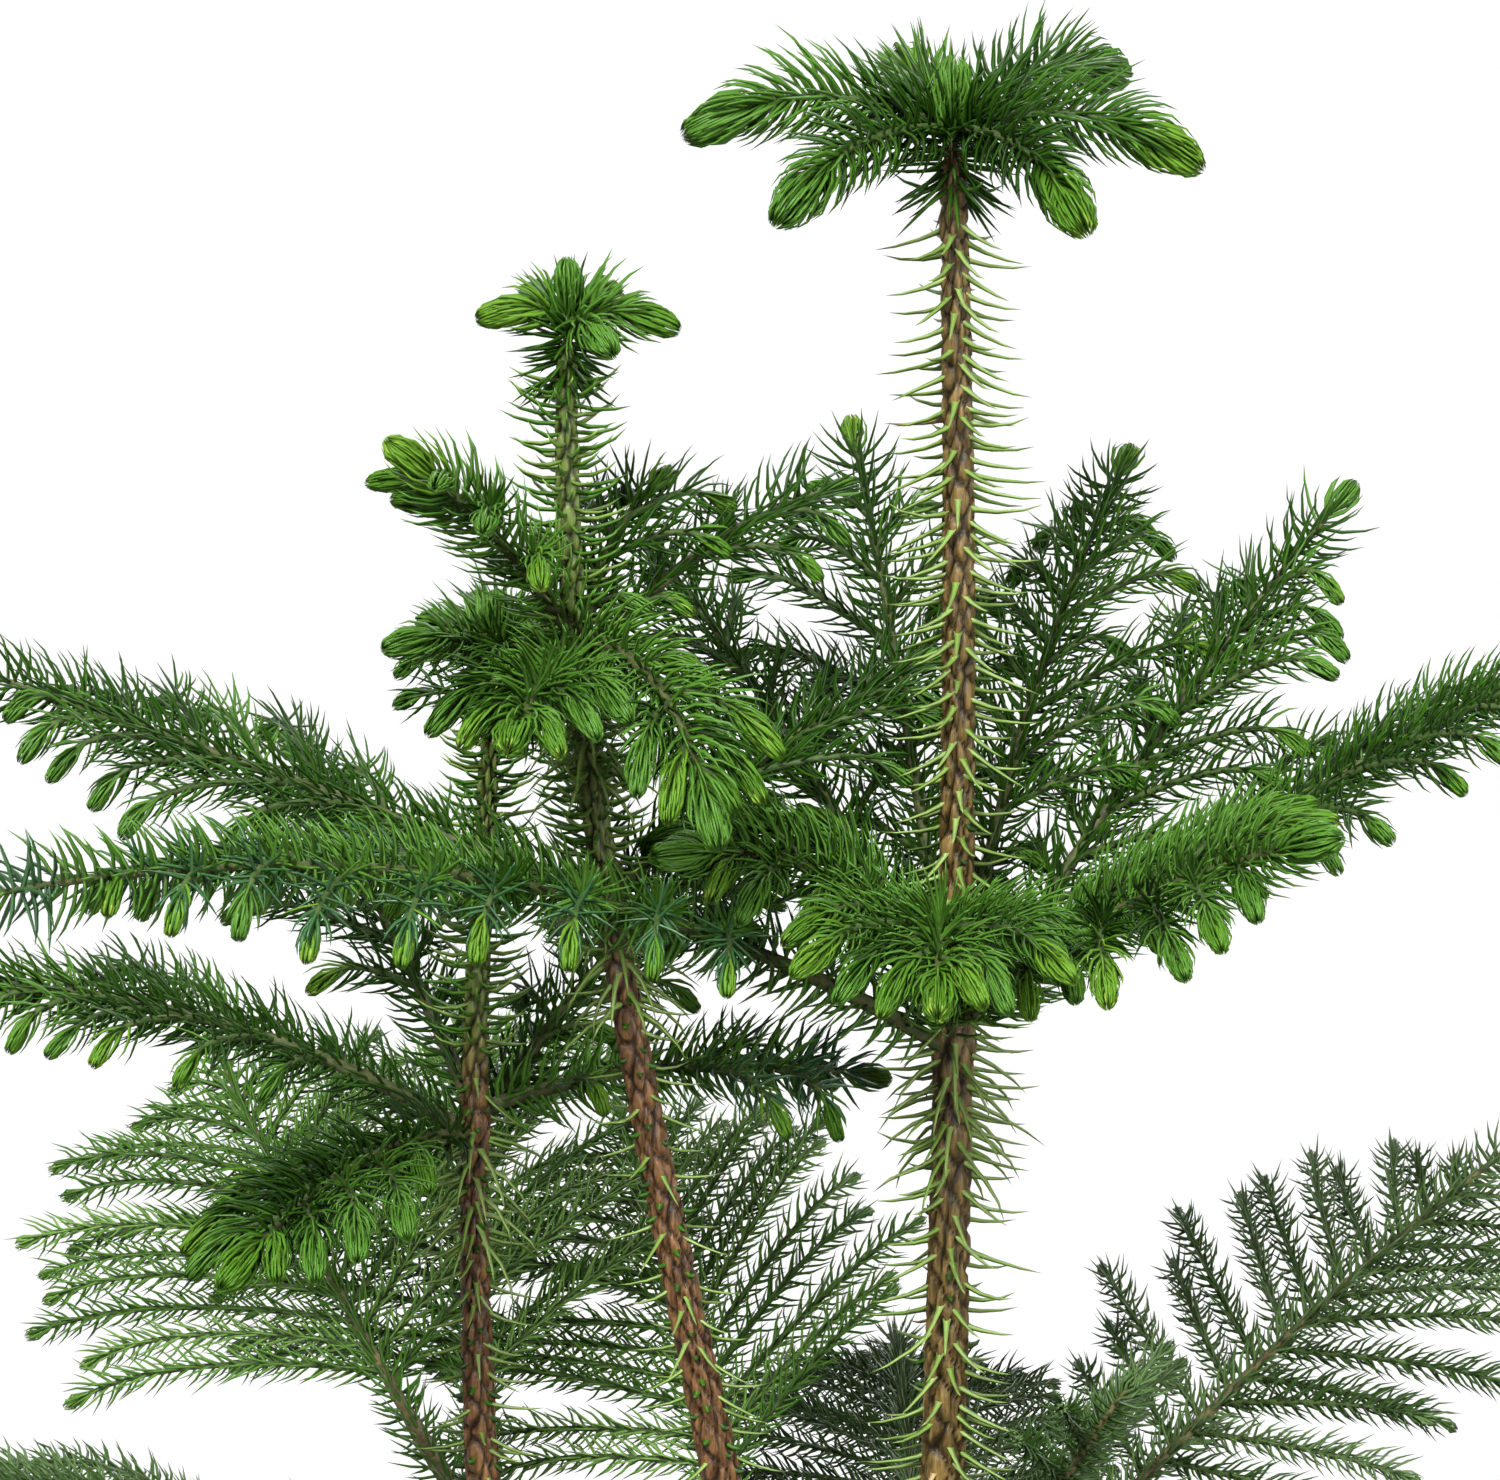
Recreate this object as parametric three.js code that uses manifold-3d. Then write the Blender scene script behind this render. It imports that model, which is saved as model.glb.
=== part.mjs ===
// Norfolk island pine: a young clump of three stems that rise from one root crown.
// Each stem carries whorls of flat, fern-like fronds and ends in a crown of brush-like shoots.
// Millimetres, +Z up. The origin is the centre of the flat cut under the tall stem.
import * as THREE from 'three';
import { mergeVertices } from 'three/addons/utils/BufferGeometryUtils.js';
import Module from 'manifold-3d';

const wasm = await Module();
wasm.setup();

const UP = new THREE.Vector3(0, 0, 1);
const SIDEWAYS = new THREE.Vector3(0.2, 0.3, 1).normalize();
const radians = THREE.MathUtils.degToRad;

// Clearance between neighbouring solids
const GAP = 0.3;

// Stems: twelve-sided sections, turned so that the flared feet meet corner to corner
const STEM_SIDES = 12;
const STEM_TURN = 3;
const STEM_STEPS = 10;
const FLARE_FALL = 8;
const FLARE_STEPS = [0, 3, 7, 13, 24];
const NODE_SWELL = 0.7;
const NODE_HEIGHT = 6;

// Fronds: a tapering axis with two rows of twigs
const AXIS_ROOT = 1.7;
const AXIS_TIP = 0.55;
const WHORL_STAGGER = 2.6;
const FIRST_TWIG = 0.24;
const LAST_TWIG = 0.9;
const TWIG_PITCH = 24;
const TWIG_ANGLE = 58;
const TWIG_LIFT = 10;
const SECTOR = 38;
const INNER_TWIGS = 0.5;
const CLEAR_OF_STEM = 15;
const SHORTEST_AXIS = 0.35;
const SHORTEST_TWIG = 11;

// Sprays of needles: toothed blades, with teeth that stand for several needles
const NEEDLE_OUT = 6;
const TWIG_NEEDLE_ROOM = 0.36;
const AXIS_NEEDLE_ROOM = 0.2;
const AXIS_NEEDLE_OUT = 2.2;
const NEEDLE_FORWARD = 0.75;
const TWIG_HALF_WIDTH = 0.9;
const TWIG_HALF_THICKNESS = 0.75;
const LONG_SPRAY = 34;
const SPRAY_SPACE = 6.2;
const AXIS_SPACE = 4.5;

// Boughs: the bare inner part of the older, lower limbs
const BOUGH_SIDES = 5;
const BOUGH_STEPS = 2;
const BOUGH_ROOT = 2.3;
const BOUGH_TIP = 1.7;

// Crowns: a short neck above the stem's tip, with a ring of shoots and a bud
const NECK_RADIUS = 2.6;
const NECK_HEIGHT = 9;
const NECK_SIDES = 6;
const SHOOT_OUT = 8;
const SHOOT_HALF = 1.8;
const BRUSH_PITCH = 12;
const BUD_HEIGHT = 20;
const BUD_SUNK = 3;
const BUD_OUT = 5;

// Needles on the bare stems
const STEM_NEEDLE_LENGTH = 12.5;
const STEM_NEEDLE_ROOT = 1.1;
const STEM_NEEDLE_LIFT = 12;
const STEM_NEEDLE_CLEAR = 15;
const GOLDEN_ANGLE = 137.508;

// Bearings count from +X, 0, round to +Y, 90. A crown's shoots and a whorl's fronds are rows of bearing,
// length, how steeply it leaves the stem and how steeply it ends. A fifth number rolls a frond about its
// axis. A whorl also has its height, its longest twig, how far its twigs droop and the share of each axis
// that is a bare bough. Where they differ from the rest, it has the angle of the sector that its twigs fill,
// the angle between twigs and axis, and the length of its inner twigs as a share of the longest.
const STEMS = [
  {
    name: 'tall',
    flare: 12.5,
    bearing: 0,
    bends: [[-4, 1, 170], [7, 0, 330], [0.5, 0, 497]],
    rootRadius: 5.2,
    tipRadius: 2.9,
    needles: 22,
    shoots: [[180, 60, 24, -28], [0, 57, 17, -36], [222, 56, 6, -44], [306, 52, 4, -50],
      [50, 64, 28, -14], [104, 50, 24, 0]],
    whorls: [
      { name: 'upper', height: 318, twigs: 54, droop: 0.35, bare: 0,
        fronds: [[260, 112, 66, -24], [2, 165, 38, 24], [37, 147, 51, 42], [66, 150, 63, 30],
          [101, 148, 58, 46], [140, 125, 55, 38], [212, 102, 72, 0, -30], [314, 110, 42, 17, 30],
          [210, 232, 34, -4]] },
      { name: 'middle', height: 176, twigs: 64, droop: 0.35, bare: 0.24, angle: 76,
        fronds: [[37, 195, 38, 24, 14], [92, 190, 12, -2], [160, 165, 12, 0], [272, 165, 26, 2],
          [325, 92, 66, 56]] },
      { name: 'lower', height: 84, twigs: 60, droop: 0.12, bare: 0.26,
        fronds: [[2, 190, 26, 4], [70, 190, 26, 4], [130, 180, 26, 4], [280, 180, 26, 2]] },
    ],
  },
  {
    name: 'leaning',
    flare: 11.1,
    bearing: 213,
    bends: [[-8, -22, 150], [-80, -28, 320], [-74, -25, 462]],
    rootRadius: 5.0,
    tipRadius: 2.2,
    needles: 16,
    shoots: [[178, 23, 30, -24], [2, 27, 20, -28], [300, 24, 10, -36], [60, 24, 30, -6],
      [118, 24, 30, -6]],
    whorls: [
      { name: 'upper', height: 402, twigs: 38, droop: 0.4, bare: 0, sector: 58,
        fronds: [[258, 62, 12, -18], [302, 74, 8, -62], [45, 80, 38, 6], [212, 56, 56, 36],
          [64, 54, 74, 16]] },
      { name: 'middle', height: 356, twigs: 48, droop: 0.35, bare: 0,
        fronds: [[166, 142, 18, 14, -10], [102, 120, 30, 6], [40, 100, 34, 10]] },
      { name: 'lower', height: 196, twigs: 80, droop: 0.5, bare: 0.24, sector: 52, inner: 0.9,
        fronds: [[100, 185, 26, 20, -25], [236, 175, 30, 6], [270, 165, 24, 2]] },
    ],
  },
  {
    name: 'short',
    flare: 11,
    bearing: 183,
    bends: [[-88, 4, 62], [-106, 12, 230], [-90, 10, 392]],
    rootRadius: 4.6,
    tipRadius: 2.1,
    needles: 14,
    shoots: [[280, 32, 24, -26], [352, 28, 20, -14], [64, 28, 24, -10], [136, 28, 24, -10],
      [208, 30, 24, -14]],
    whorls: [
      { name: 'upper', height: 298, twigs: 46, droop: 0.3, bare: 0,
        fronds: [[178, 124, 32, -2], [122, 110, 44, 26], [52, 110, 40, 20], [8, 88, 18, -14],
          [238, 90, 14, -24]] },
      { name: 'lower', height: 205, twigs: 86, droop: 0.6, bare: 0.24, sector: 58, inner: 0.9,
        fronds: [[97, 190, 26, 22, -20], [118, 190, 22, 20, -20], [192, 180, 12, -2],
          [226, 165, 20, 0]] },
    ],
  },
];

const BARK = new THREE.MeshStandardMaterial({ color: 0x6b4a2f, roughness: 0.85, metalness: 0 });
const BOUGH_BARK = new THREE.MeshStandardMaterial({ color: 0x5c5a2c, roughness: 0.8, metalness: 0 });
const FOLIAGE = new THREE.MeshStandardMaterial({ color: 0x2c6a26, roughness: 0.5, metalness: 0 });
const YOUNG_FOLIAGE = new THREE.MeshStandardMaterial({ color: 0x4f9a2a, roughness: 0.5, metalness: 0 });

// A repeatable number from 0 to 1 for each seed
function chance(seed) {
  const wave = Math.sin(seed * 12.9898 + 4.1414) * 43758.5453;
  return wave - Math.floor(wave);
}

function jitter(seed, spread) {
  return (chance(seed) - 0.5) * 2 * spread;
}

function heading(bearing, rise) {
  const level = Math.cos(radians(rise));
  return new THREE.Vector3(
    Math.cos(radians(bearing)) * level,
    Math.sin(radians(bearing)) * level,
    Math.sin(radians(rise)),
  );
}

// The feet stand round one root crown, each flare touching the one before it.
function placeFeet() {
  const foot = new THREE.Vector3();
  let before = null;
  for (const stem of STEMS) {
    if (before) foot.addScaledVector(heading(stem.bearing, 0), before.flare + stem.flare + GAP);
    const bends = stem.bends.map((bend) => new THREE.Vector3(...bend));
    stem.line = new THREE.CubicBezierCurve3(foot.clone(), ...bends);
    before = stem;
  }
}

// Where along the stem's line a height lies, by halving
function shareAtHeight(stem, height) {
  let low = 0;
  let high = 1;
  for (let i = 0; i < 40; i++) {
    const middle = (low + high) / 2;
    if (stem.line.getPoint(middle).z < height) low = middle;
    else high = middle;
  }
  return (low + high) / 2;
}

function stemRadius(stem, height) {
  const top = stem.line.v3.z;
  const share = Math.max(0, 1 - height / top);
  const taper = stem.tipRadius + (stem.rootRadius - stem.tipRadius) * share ** 0.8;
  const flare = (stem.flare - stem.rootRadius) * Math.exp(-height / FLARE_FALL);
  const swell = stem.whorls.reduce(
    (sum, whorl) => sum + NODE_SWELL * Math.exp(-(((height - whorl.height) / NODE_HEIGHT) ** 2)), 0);
  return taper + flare + swell;
}

// The axis of a frond: it leaves the stem's middle line steeply and levels out.
function frondAxis(stem, whorl, index, share) {
  const seed = frondSeed(stem, whorl, index);
  const [bearing, reach, rise, tipRise, roll = 0] = whorl.fronds[index];
  const height = whorl.height + (index % 2 ? WHORL_STAGGER : -WHORL_STAGGER);
  const start = stem.line.getPoint(shareAtHeight(stem, height));
  const length = reach * share;
  const bend = start.clone().addScaledVector(heading(bearing, rise), length / 2);
  const tip = bend.clone().addScaledVector(heading(bearing + jitter(seed + 0.3, 8), tipRise), length / 2);
  const chord = tip.clone().sub(start).normalize();
  const facing = UP.clone().applyAxisAngle(chord, radians(roll));
  return { line: new THREE.QuadraticBezierCurve3(start, bend, tip), length, facing };
}

function frondSeed(stem, whorl, index) {
  return STEMS.indexOf(stem) * 100 + stem.whorls.indexOf(whorl) * 10 + index + 1;
}

// How long the twigs are along a frond, from 0 at its first twig to 1 at its tip
function twigShape(share, inner) {
  const start = inner + (1 - inner) * Math.min(1, share / 0.25);
  return start * Math.sqrt(Math.max(0, 1 - share ** 1.7));
}

// The twigs of a frond, in pairs, each a curve that sweeps forward and droops at its end
function frondTwigs(stem, whorl, index, axis) {
  const seed = frondSeed(stem, whorl, index);
  const first = Math.max(FIRST_TWIG, whorl.bare + 0.05);
  const count = Math.max(2, Math.round((axis.length * (LAST_TWIG - first)) / TWIG_PITCH));
  return Array.from({ length: count }, (_, i) => {
    const share = i / count;
    const at = first + (LAST_TWIG - first) * share;
    const pairSeed = seed + i * 0.37;
    const right = twigOf(whorl, axis, at, share, 1, pairSeed);
    const left = twigOf(whorl, axis, at, share, -1, pairSeed);
    return { at, twigs: { right, left } };
  });
}

function twigOf(whorl, axis, at, share, side, pairSeed) {
  const seed = pairSeed + side * 0.11;
  const { centre, along, across, above } = frameAt(axis.line, at, axis.facing);
  const angle = radians((whorl.angle ?? TWIG_ANGLE) * (1 - 0.35 * share) + jitter(seed + 0.5, 5));
  const lift = radians(TWIG_LIFT + jitter(seed + 0.6, 8));
  const out = along.clone().multiplyScalar(Math.cos(angle))
    .addScaledVector(across, side * Math.sin(angle) * Math.cos(lift))
    .addScaledVector(above, Math.sin(angle) * Math.sin(lift));
  const end = out.clone().addScaledVector(along, 0.3).addScaledVector(UP, -whorl.droop).normalize();
  const sector = Math.tan(radians(whorl.sector ?? SECTOR));
  const room = (axis.length * at * sector) / Math.sin(angle);
  const longest = whorl.twigs * twigShape(share, whorl.inner ?? INNER_TWIGS);
  const length = Math.min(longest, room) * (1 + jitter(seed + 0.7, 0.1));
  return { root: centre, out, end, length, above };
}

function twigLine(twig, length) {
  const bend = twig.root.clone().addScaledVector(twig.out, length / 2);
  const tip = bend.clone().addScaledVector(twig.end, length / 2);
  return new THREE.QuadraticBezierCurve3(twig.root, bend, tip);
}

// The space already taken, as balls strung along each limb
const taken = [];

function balls(line, from, to, radius) {
  const steps = Math.max(2, Math.ceil((line.getLength() * (to - from)) / radius));
  return Array.from({ length: steps + 1 }, (_, i) => line.getPoint(from + ((to - from) * i) / steps));
}

function isClear(points, radius, owner) {
  return points.every((point) => taken.every((ball) =>
    ball.owner === owner || ball.point.distanceTo(point) > ball.radius + radius + GAP));
}

function take(points, radius, owner) {
  for (const point of points) taken.push({ point, radius, owner });
}

// A closed surface through rings of equally many points
function loft(rings) {
  const sides = rings[0].length;
  const positions = rings.flat().flatMap((point) => point.toArray());
  const faces = [];
  for (let ring = 0; ring + 1 < rings.length; ring++) {
    for (let i = 0; i < sides; i++) {
      const a = ring * sides + i;
      const b = ring * sides + ((i + 1) % sides);
      faces.push(a, b, a + sides, b, b + sides, a + sides);
    }
  }
  const last = (rings.length - 1) * sides;
  for (let i = 1; i + 1 < sides; i++) faces.push(0, i + 1, i, last, last + i, last + i + 1);
  return geometryOf(positions, faces);
}

function geometryOf(positions, faces) {
  const geometry = new THREE.BufferGeometry();
  geometry.setAttribute('position', new THREE.Float32BufferAttribute(positions, 3));
  geometry.setIndex(faces);
  return geometry;
}

function ringOf(centre, across, above, radius, sides, turn = 0) {
  return Array.from({ length: sides }, (_, i) => {
    const angle = turn + (i / sides) * Math.PI * 2;
    return centre.clone()
      .addScaledVector(across, Math.cos(angle) * radius)
      .addScaledVector(above, Math.sin(angle) * radius);
  });
}

// A tapering limb along a stretch of a curve
function limb(line, from, to, rootRadius, tipRadius, sides, steps) {
  const rings = [];
  for (let i = 0; i <= steps; i++) {
    const share = i / steps;
    const at = from + (to - from) * share;
    const along = line.getTangent(at);
    const across = along.clone().cross(UP).normalize();
    const above = along.clone().cross(across);
    rings.push(ringOf(line.getPoint(at), across, above,
      rootRadius + (tipRadius - rootRadius) * share, sides, Math.PI / 2));
  }
  return loft(rings);
}

// A surface put together from points, and faces between their numbers
class Surface {
  points = [];
  faces = [];

  point(centre, direction, distance) {
    this.points.push(centre.clone().addScaledVector(direction, distance));
    return this.points.length - 1;
  }

  geometry() {
    return geometryOf(this.points.flatMap((point) => point.toArray()), this.faces);
  }
}

function frameAt(line, share, facing) {
  const along = line.getTangent(share);
  const across = along.clone().cross(facing).normalize();
  return { centre: line.getPoint(share), along, across, above: across.clone().cross(along) };
}

// A lens-shaped section: a spine above and below, and an edge on each side
function section(surface, frame, halfWidth, halfThickness) {
  return {
    top: surface.point(frame.centre, frame.above, halfThickness),
    bottom: surface.point(frame.centre, frame.above, -halfThickness),
    right: surface.point(frame.centre, frame.across, halfWidth),
    left: surface.point(frame.centre, frame.across, -halfWidth),
  };
}

function teethAt(surface, frame, out) {
  return {
    right: surface.point(frame.centre, frame.across, out),
    left: surface.point(frame.centre, frame.across, -out),
  };
}

// The skin from one section to the next, or to a tip, with a tooth on each edge where there are teeth
function skin(surface, back, front, teeth) {
  for (const spine of ['top', 'bottom']) {
    for (const edge of ['right', 'left']) {
      const flip = (spine === 'top') === (edge === 'right');
      const face = (a, b, c) => surface.faces.push(...(flip ? [a, c, b] : [a, b, c]));
      const corners = [back[edge], back[spine], front.tip ?? front[spine]];
      if (front.tip === undefined) corners.push(front[edge]);
      if (teeth) {
        for (let i = 0; i + 1 < corners.length; i++) face(teeth[edge], corners[i], corners[i + 1]);
      } else {
        for (let i = 1; i + 1 < corners.length; i++) face(corners[0], corners[i], corners[i + 1]);
      }
    }
  }
}

// A spray of needles: a blade, thick along its twig, with forward teeth along both edges.
// It grows on from a section that is already in the surface.
function spray(surface, root, line, from, length, facing, room) {
  const teeth = length > LONG_SPRAY ? 3 : 2;
  const pitch = length / (teeth + 0.3);
  const shareOf = (distance) => from + (1 - from) * Math.min(1, distance / length);
  let back = root;
  for (let i = 0; i < teeth; i++) {
    const thin = 1 - (0.45 * i) / teeth;
    const reach = pitch * (i + NEEDLE_FORWARD);
    const tooth = frameAt(line, shareOf(reach), facing);
    const points = teethAt(surface, tooth, Math.min(NEEDLE_OUT * thin, room * reach));
    const last = i === teeth - 1;
    const next = frameAt(line, last ? 1 : shareOf(pitch * (i + 1)), facing);
    const front = last
      ? { tip: surface.point(next.centre, next.along, 0) }
      : section(surface, next, TWIG_HALF_WIDTH * thin, TWIG_HALF_THICKNESS * thin);
    skin(surface, back, front, points);
    back = front;
  }
}

// A brush of needles round a shoot: a core whose four faces each carry a row of forward spikes
function brush(line, length, out, half) {
  const surface = new Surface();
  const rows = Math.round(length / BRUSH_PITCH);
  const sectionAt = (row) => {
    const share = row / (rows + 0.4);
    const thin = half * (1 - 0.5 * share);
    return section(surface, frameAt(line, share, SIDEWAYS), thin, thin);
  };
  let back = sectionAt(0);
  surface.faces.push(back.top, back.left, back.right, back.bottom, back.right, back.left);
  for (let row = 1; row <= rows; row++) {
    const last = row === rows;
    const end = frameAt(line, 1, SIDEWAYS);
    const front = last ? { tip: surface.point(end.centre, end.along, 0) } : sectionAt(row);
    const spikes = frameAt(line, Math.min(0.98, (row - 0.05) / (rows + 0.4)), SIDEWAYS);
    for (const spine of ['top', 'bottom']) {
      for (const edge of ['right', 'left']) {
        const outward = spikes.across.clone().multiplyScalar(edge === 'right' ? 1 : -1)
          .addScaledVector(spikes.above, spine === 'top' ? 1 : -1).normalize();
        const spike = surface.point(spikes.centre, outward, out * (1 - (0.35 * row) / rows));
        const flip = (spine === 'top') === (edge === 'right');
        const corners = [back[edge], back[spine]];
        if (last) corners.push(front.tip);
        else corners.push(front[spine], front[edge]);
        corners.forEach((corner, i) => {
          const next = corners[(i + 1) % corners.length];
          surface.faces.push(...(flip ? [spike, next, corner] : [spike, corner, next]));
        });
      }
    }
    back = front;
  }
  return surface.geometry();
}

function solidOf(geometry) {
  const merged = mergeVertices(geometry, 1e-4);
  return new wasm.Manifold(new wasm.Mesh({
    numProp: 3,
    vertProperties: new Float32Array(merged.attributes.position.array),
    triVerts: new Uint32Array(merged.index.array),
  }));
}

// All the pieces joined into one body, without any scrap that a cut leaves loose
function fuse(geometries, cutter) {
  let solid = wasm.Manifold.union(geometries.map(solidOf));
  if (cutter) solid = solid.subtract(cutter);
  const bodies = solid.decompose().sort((a, b) => b.volume() - a.volume());
  const mesh = bodies[0].getMesh();
  return geometryOf(Array.from(mesh.vertProperties), Array.from(mesh.triVerts));
}

function addMesh(name, geometry, material) {
  const mesh = new THREE.Mesh(geometry, material);
  mesh.name = name;
  plant.add(mesh);
}

function stemHeights(stem) {
  const top = stem.line.v3.z;
  const low = FLARE_STEPS[FLARE_STEPS.length - 1];
  const even = Array.from({ length: STEM_STEPS }, (_, i) => low + ((top - low) * (i + 1)) / STEM_STEPS);
  return [...FLARE_STEPS, ...even];
}

// A stem, or the same stem thickened by a clearance to cut its neighbours with
function stemSurface(stem, extra) {
  const across = new THREE.Vector3(1, 0, 0);
  const above = new THREE.Vector3(0, 1, 0);
  const rings = stemHeights(stem).map((height) => ringOf(
    stem.line.getPoint(shareAtHeight(stem, height)).setZ(height),
    across, above, stemRadius(stem, height) + extra, STEM_SIDES, radians(STEM_TURN)));
  return loft(rings);
}

// Needles that stand out of the bare stem in a spiral, away from its whorls
function stemNeedles(stem) {
  const top = stem.line.v3.z;
  const first = top * 0.3;
  const needles = [];
  for (let i = 0; i < stem.needles; i++) {
    const height = first + ((top - first) * (i + 0.5)) / stem.needles;
    if (stem.whorls.some((whorl) => Math.abs(whorl.height - height) < STEM_NEEDLE_CLEAR)) continue;
    if (top - height < STEM_NEEDLE_CLEAR) continue;
    const centre = stem.line.getPoint(shareAtHeight(stem, height));
    const out = heading(i * GOLDEN_ANGLE, STEM_NEEDLE_LIFT);
    const radius = stemRadius(stem, height);
    const tip = centre.clone().addScaledVector(out, radius + STEM_NEEDLE_LENGTH);
    const root = centre.clone().addScaledVector(out, radius * 0.4);
    const line = new THREE.LineCurve3(root, tip);
    if (!isClear(balls(line, 0.4, 1, STEM_NEEDLE_ROOT), STEM_NEEDLE_ROOT, stem.name)) continue;
    take(balls(line, 0.4, 1, STEM_NEEDLE_ROOT), STEM_NEEDLE_ROOT, stem.name);
    needles.push(limb(line, 0, 1, STEM_NEEDLE_ROOT, 0.12, 3, 1));
  }
  return needles;
}

// The crown: a neck just above the stem's tip, a ring of shoots that curve over, and a bud
function crownShoots(stem) {
  const foot = stem.line.v3.clone().addScaledVector(UP, GAP);
  const start = foot.clone().addScaledVector(UP, NECK_HEIGHT * 0.5);
  const lines = stem.shoots.map(([bearing, length, rise, tipRise]) => {
    const bend = start.clone().addScaledVector(heading(bearing, rise), length * 0.55);
    const tip = bend.clone().addScaledVector(heading(bearing, tipRise), length * 0.45);
    return new THREE.QuadraticBezierCurve3(start, bend, tip);
  });
  return { foot, lines };
}

function crownSolid(stem, crown) {
  const neckTop = crown.foot.clone().addScaledVector(UP, NECK_HEIGHT);
  const neck = loft([crown.foot, neckTop].map((centre, i) => ringOf(
    centre, new THREE.Vector3(1, 0, 0), new THREE.Vector3(0, 1, 0),
    Math.min(NECK_RADIUS, stem.tipRadius) * (1 - 0.3 * i), NECK_SIDES)));
  const bud = new THREE.LineCurve3(
    crown.foot.clone().addScaledVector(UP, BUD_SUNK), crown.foot.clone().addScaledVector(UP, BUD_HEIGHT));
  const shoots = crown.lines.map((line) => brush(line, line.getLength(), SHOOT_OUT, SHOOT_HALF));
  return fuse([neck, brush(bud, BUD_HEIGHT - BUD_SUNK, BUD_OUT, SHOOT_HALF), ...shoots]);
}

// A frond: one surface over its axis and its twigs, which open out of the axis in pairs
function frondSolid(frond, cutter) {
  const { axis, whorl, pairs } = frond;
  const surface = new Surface();
  const from = whorl.bare ? whorl.bare + GAP / axis.length : 0;
  const girth = (at) => AXIS_ROOT + (AXIS_TIP - AXIS_ROOT) * at;
  let back = section(surface, frameAt(axis.line, from, axis.facing), girth(from), girth(from));
  surface.faces.push(back.top, back.left, back.right, back.bottom, back.right, back.left);
  pairs.forEach(({ at, twigs }, i) => {
    const { hind, fore } = openSection(surface, frameAt(axis.line, at, axis.facing), girth(at));
    const between = i ? frameAt(axis.line, (pairs[i - 1].at + at) / 2, axis.facing) : null;
    skin(surface, back, hind, between && teethAt(surface, between, AXIS_NEEDLE_OUT));
    growPair(surface, hind, fore, twigs);
    back = fore;
  });
  const last = pairs.length ? pairs[pairs.length - 1].at : from;
  spray(surface, back, axis.line, last, axis.length * (1 - last), axis.facing, AXIS_NEEDLE_ROOM);
  return fuse([surface.geometry()], whorl.bare ? null : cutter);
}

// A section of the axis whose edges part, so that a twig can grow out on each side
function openSection(surface, frame, girth) {
  const shifted = (distance) => ({
    ...frame, centre: frame.centre.clone().addScaledVector(frame.along, distance) });
  const spines = {
    top: surface.point(frame.centre, frame.above, girth),
    bottom: surface.point(frame.centre, frame.above, -girth),
  };
  return {
    hind: { ...spines, ...teethAt(surface, shifted(-TWIG_HALF_WIDTH), girth) },
    fore: { ...spines, ...teethAt(surface, shifted(TWIG_HALF_WIDTH), girth) },
  };
}

// The two twigs of a pair, each out of its opening, or a closed edge where a twig found no space
function growPair(surface, hind, fore, twigs) {
  const { top, bottom } = hind;
  const rightRoot = { top, bottom, right: hind.right, left: fore.right };
  const leftRoot = { top, bottom, right: fore.left, left: hind.left };
  const twigOut = (root, twig) =>
    spray(surface, root, twig.line, 0, twig.length, twig.above, TWIG_NEEDLE_ROOM);
  if (twigs.right) twigOut(rightRoot, twigs.right);
  else surface.faces.push(hind.right, fore.right, top, hind.right, bottom, fore.right);
  if (twigs.left) twigOut(leftRoot, twigs.left);
  else surface.faces.push(hind.left, top, fore.left, hind.left, fore.left, bottom);
}

function boughSolid(frond, cutter) {
  const { axis, whorl } = frond;
  return fuse([limb(axis.line, 0, whorl.bare, BOUGH_ROOT, BOUGH_TIP, BOUGH_SIDES, BOUGH_STEPS)], cutter);
}

// Each frond's axis, shortened where another stem or frond already has its space
function settleAxis(stem, whorl, index) {
  const owner = `${stem.name}_${whorl.name}_${index + 1}`;
  for (let share = 1; share >= SHORTEST_AXIS; share -= 0.08) {
    const axis = frondAxis(stem, whorl, index, share);
    const leafy = balls(axis.line, FIRST_TWIG, 1, AXIS_SPACE);
    const bare = balls(axis.line, CLEAR_OF_STEM / axis.length, FIRST_TWIG, BOUGH_ROOT);
    if (!isClear(leafy, AXIS_SPACE, stem.name) || !isClear(bare, BOUGH_ROOT, stem.name)) continue;
    take(leafy, AXIS_SPACE, owner);
    take(bare, BOUGH_ROOT, owner);
    return { stem, whorl, index, owner, axis };
  }
  return null;
}

// The twigs that find clear space, shortened once if that helps
function settleTwigs(frond) {
  frond.pairs = frondTwigs(frond.stem, frond.whorl, frond.index, frond.axis);
  for (const { twigs } of frond.pairs) {
    for (const side of ['right', 'left']) twigs[side] = settleTwig(frond, twigs[side]);
  }
}

function settleTwig(frond, twig) {
  for (const length of [twig.length, twig.length * 0.7]) {
    if (length < SHORTEST_TWIG) continue;
    const line = twigLine(twig, length);
    const points = balls(line, 0.25, 1, SPRAY_SPACE);
    if (!isClear(points, SPRAY_SPACE, frond.owner)) continue;
    take(points, SPRAY_SPACE, frond.owner);
    return { ...twig, line, length };
  }
  return null;
}

const plant = new THREE.Group();
placeFeet();

for (const stem of STEMS) {
  take(balls(stem.line, 0, 1, stem.rootRadius), stem.rootRadius, stem.name);
  stem.crown = crownShoots(stem);
  for (const line of stem.crown.lines) take(balls(line, 0.1, 1, SHOOT_OUT), SHOOT_OUT, `${stem.name}_crown`);
}

const fronds = [];
for (const stem of STEMS) {
  for (const whorl of stem.whorls) {
    whorl.fronds.forEach((_, index) => fronds.push(settleAxis(stem, whorl, index)));
  }
}
const grown = fronds.filter(Boolean);
grown.forEach(settleTwigs);

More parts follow.
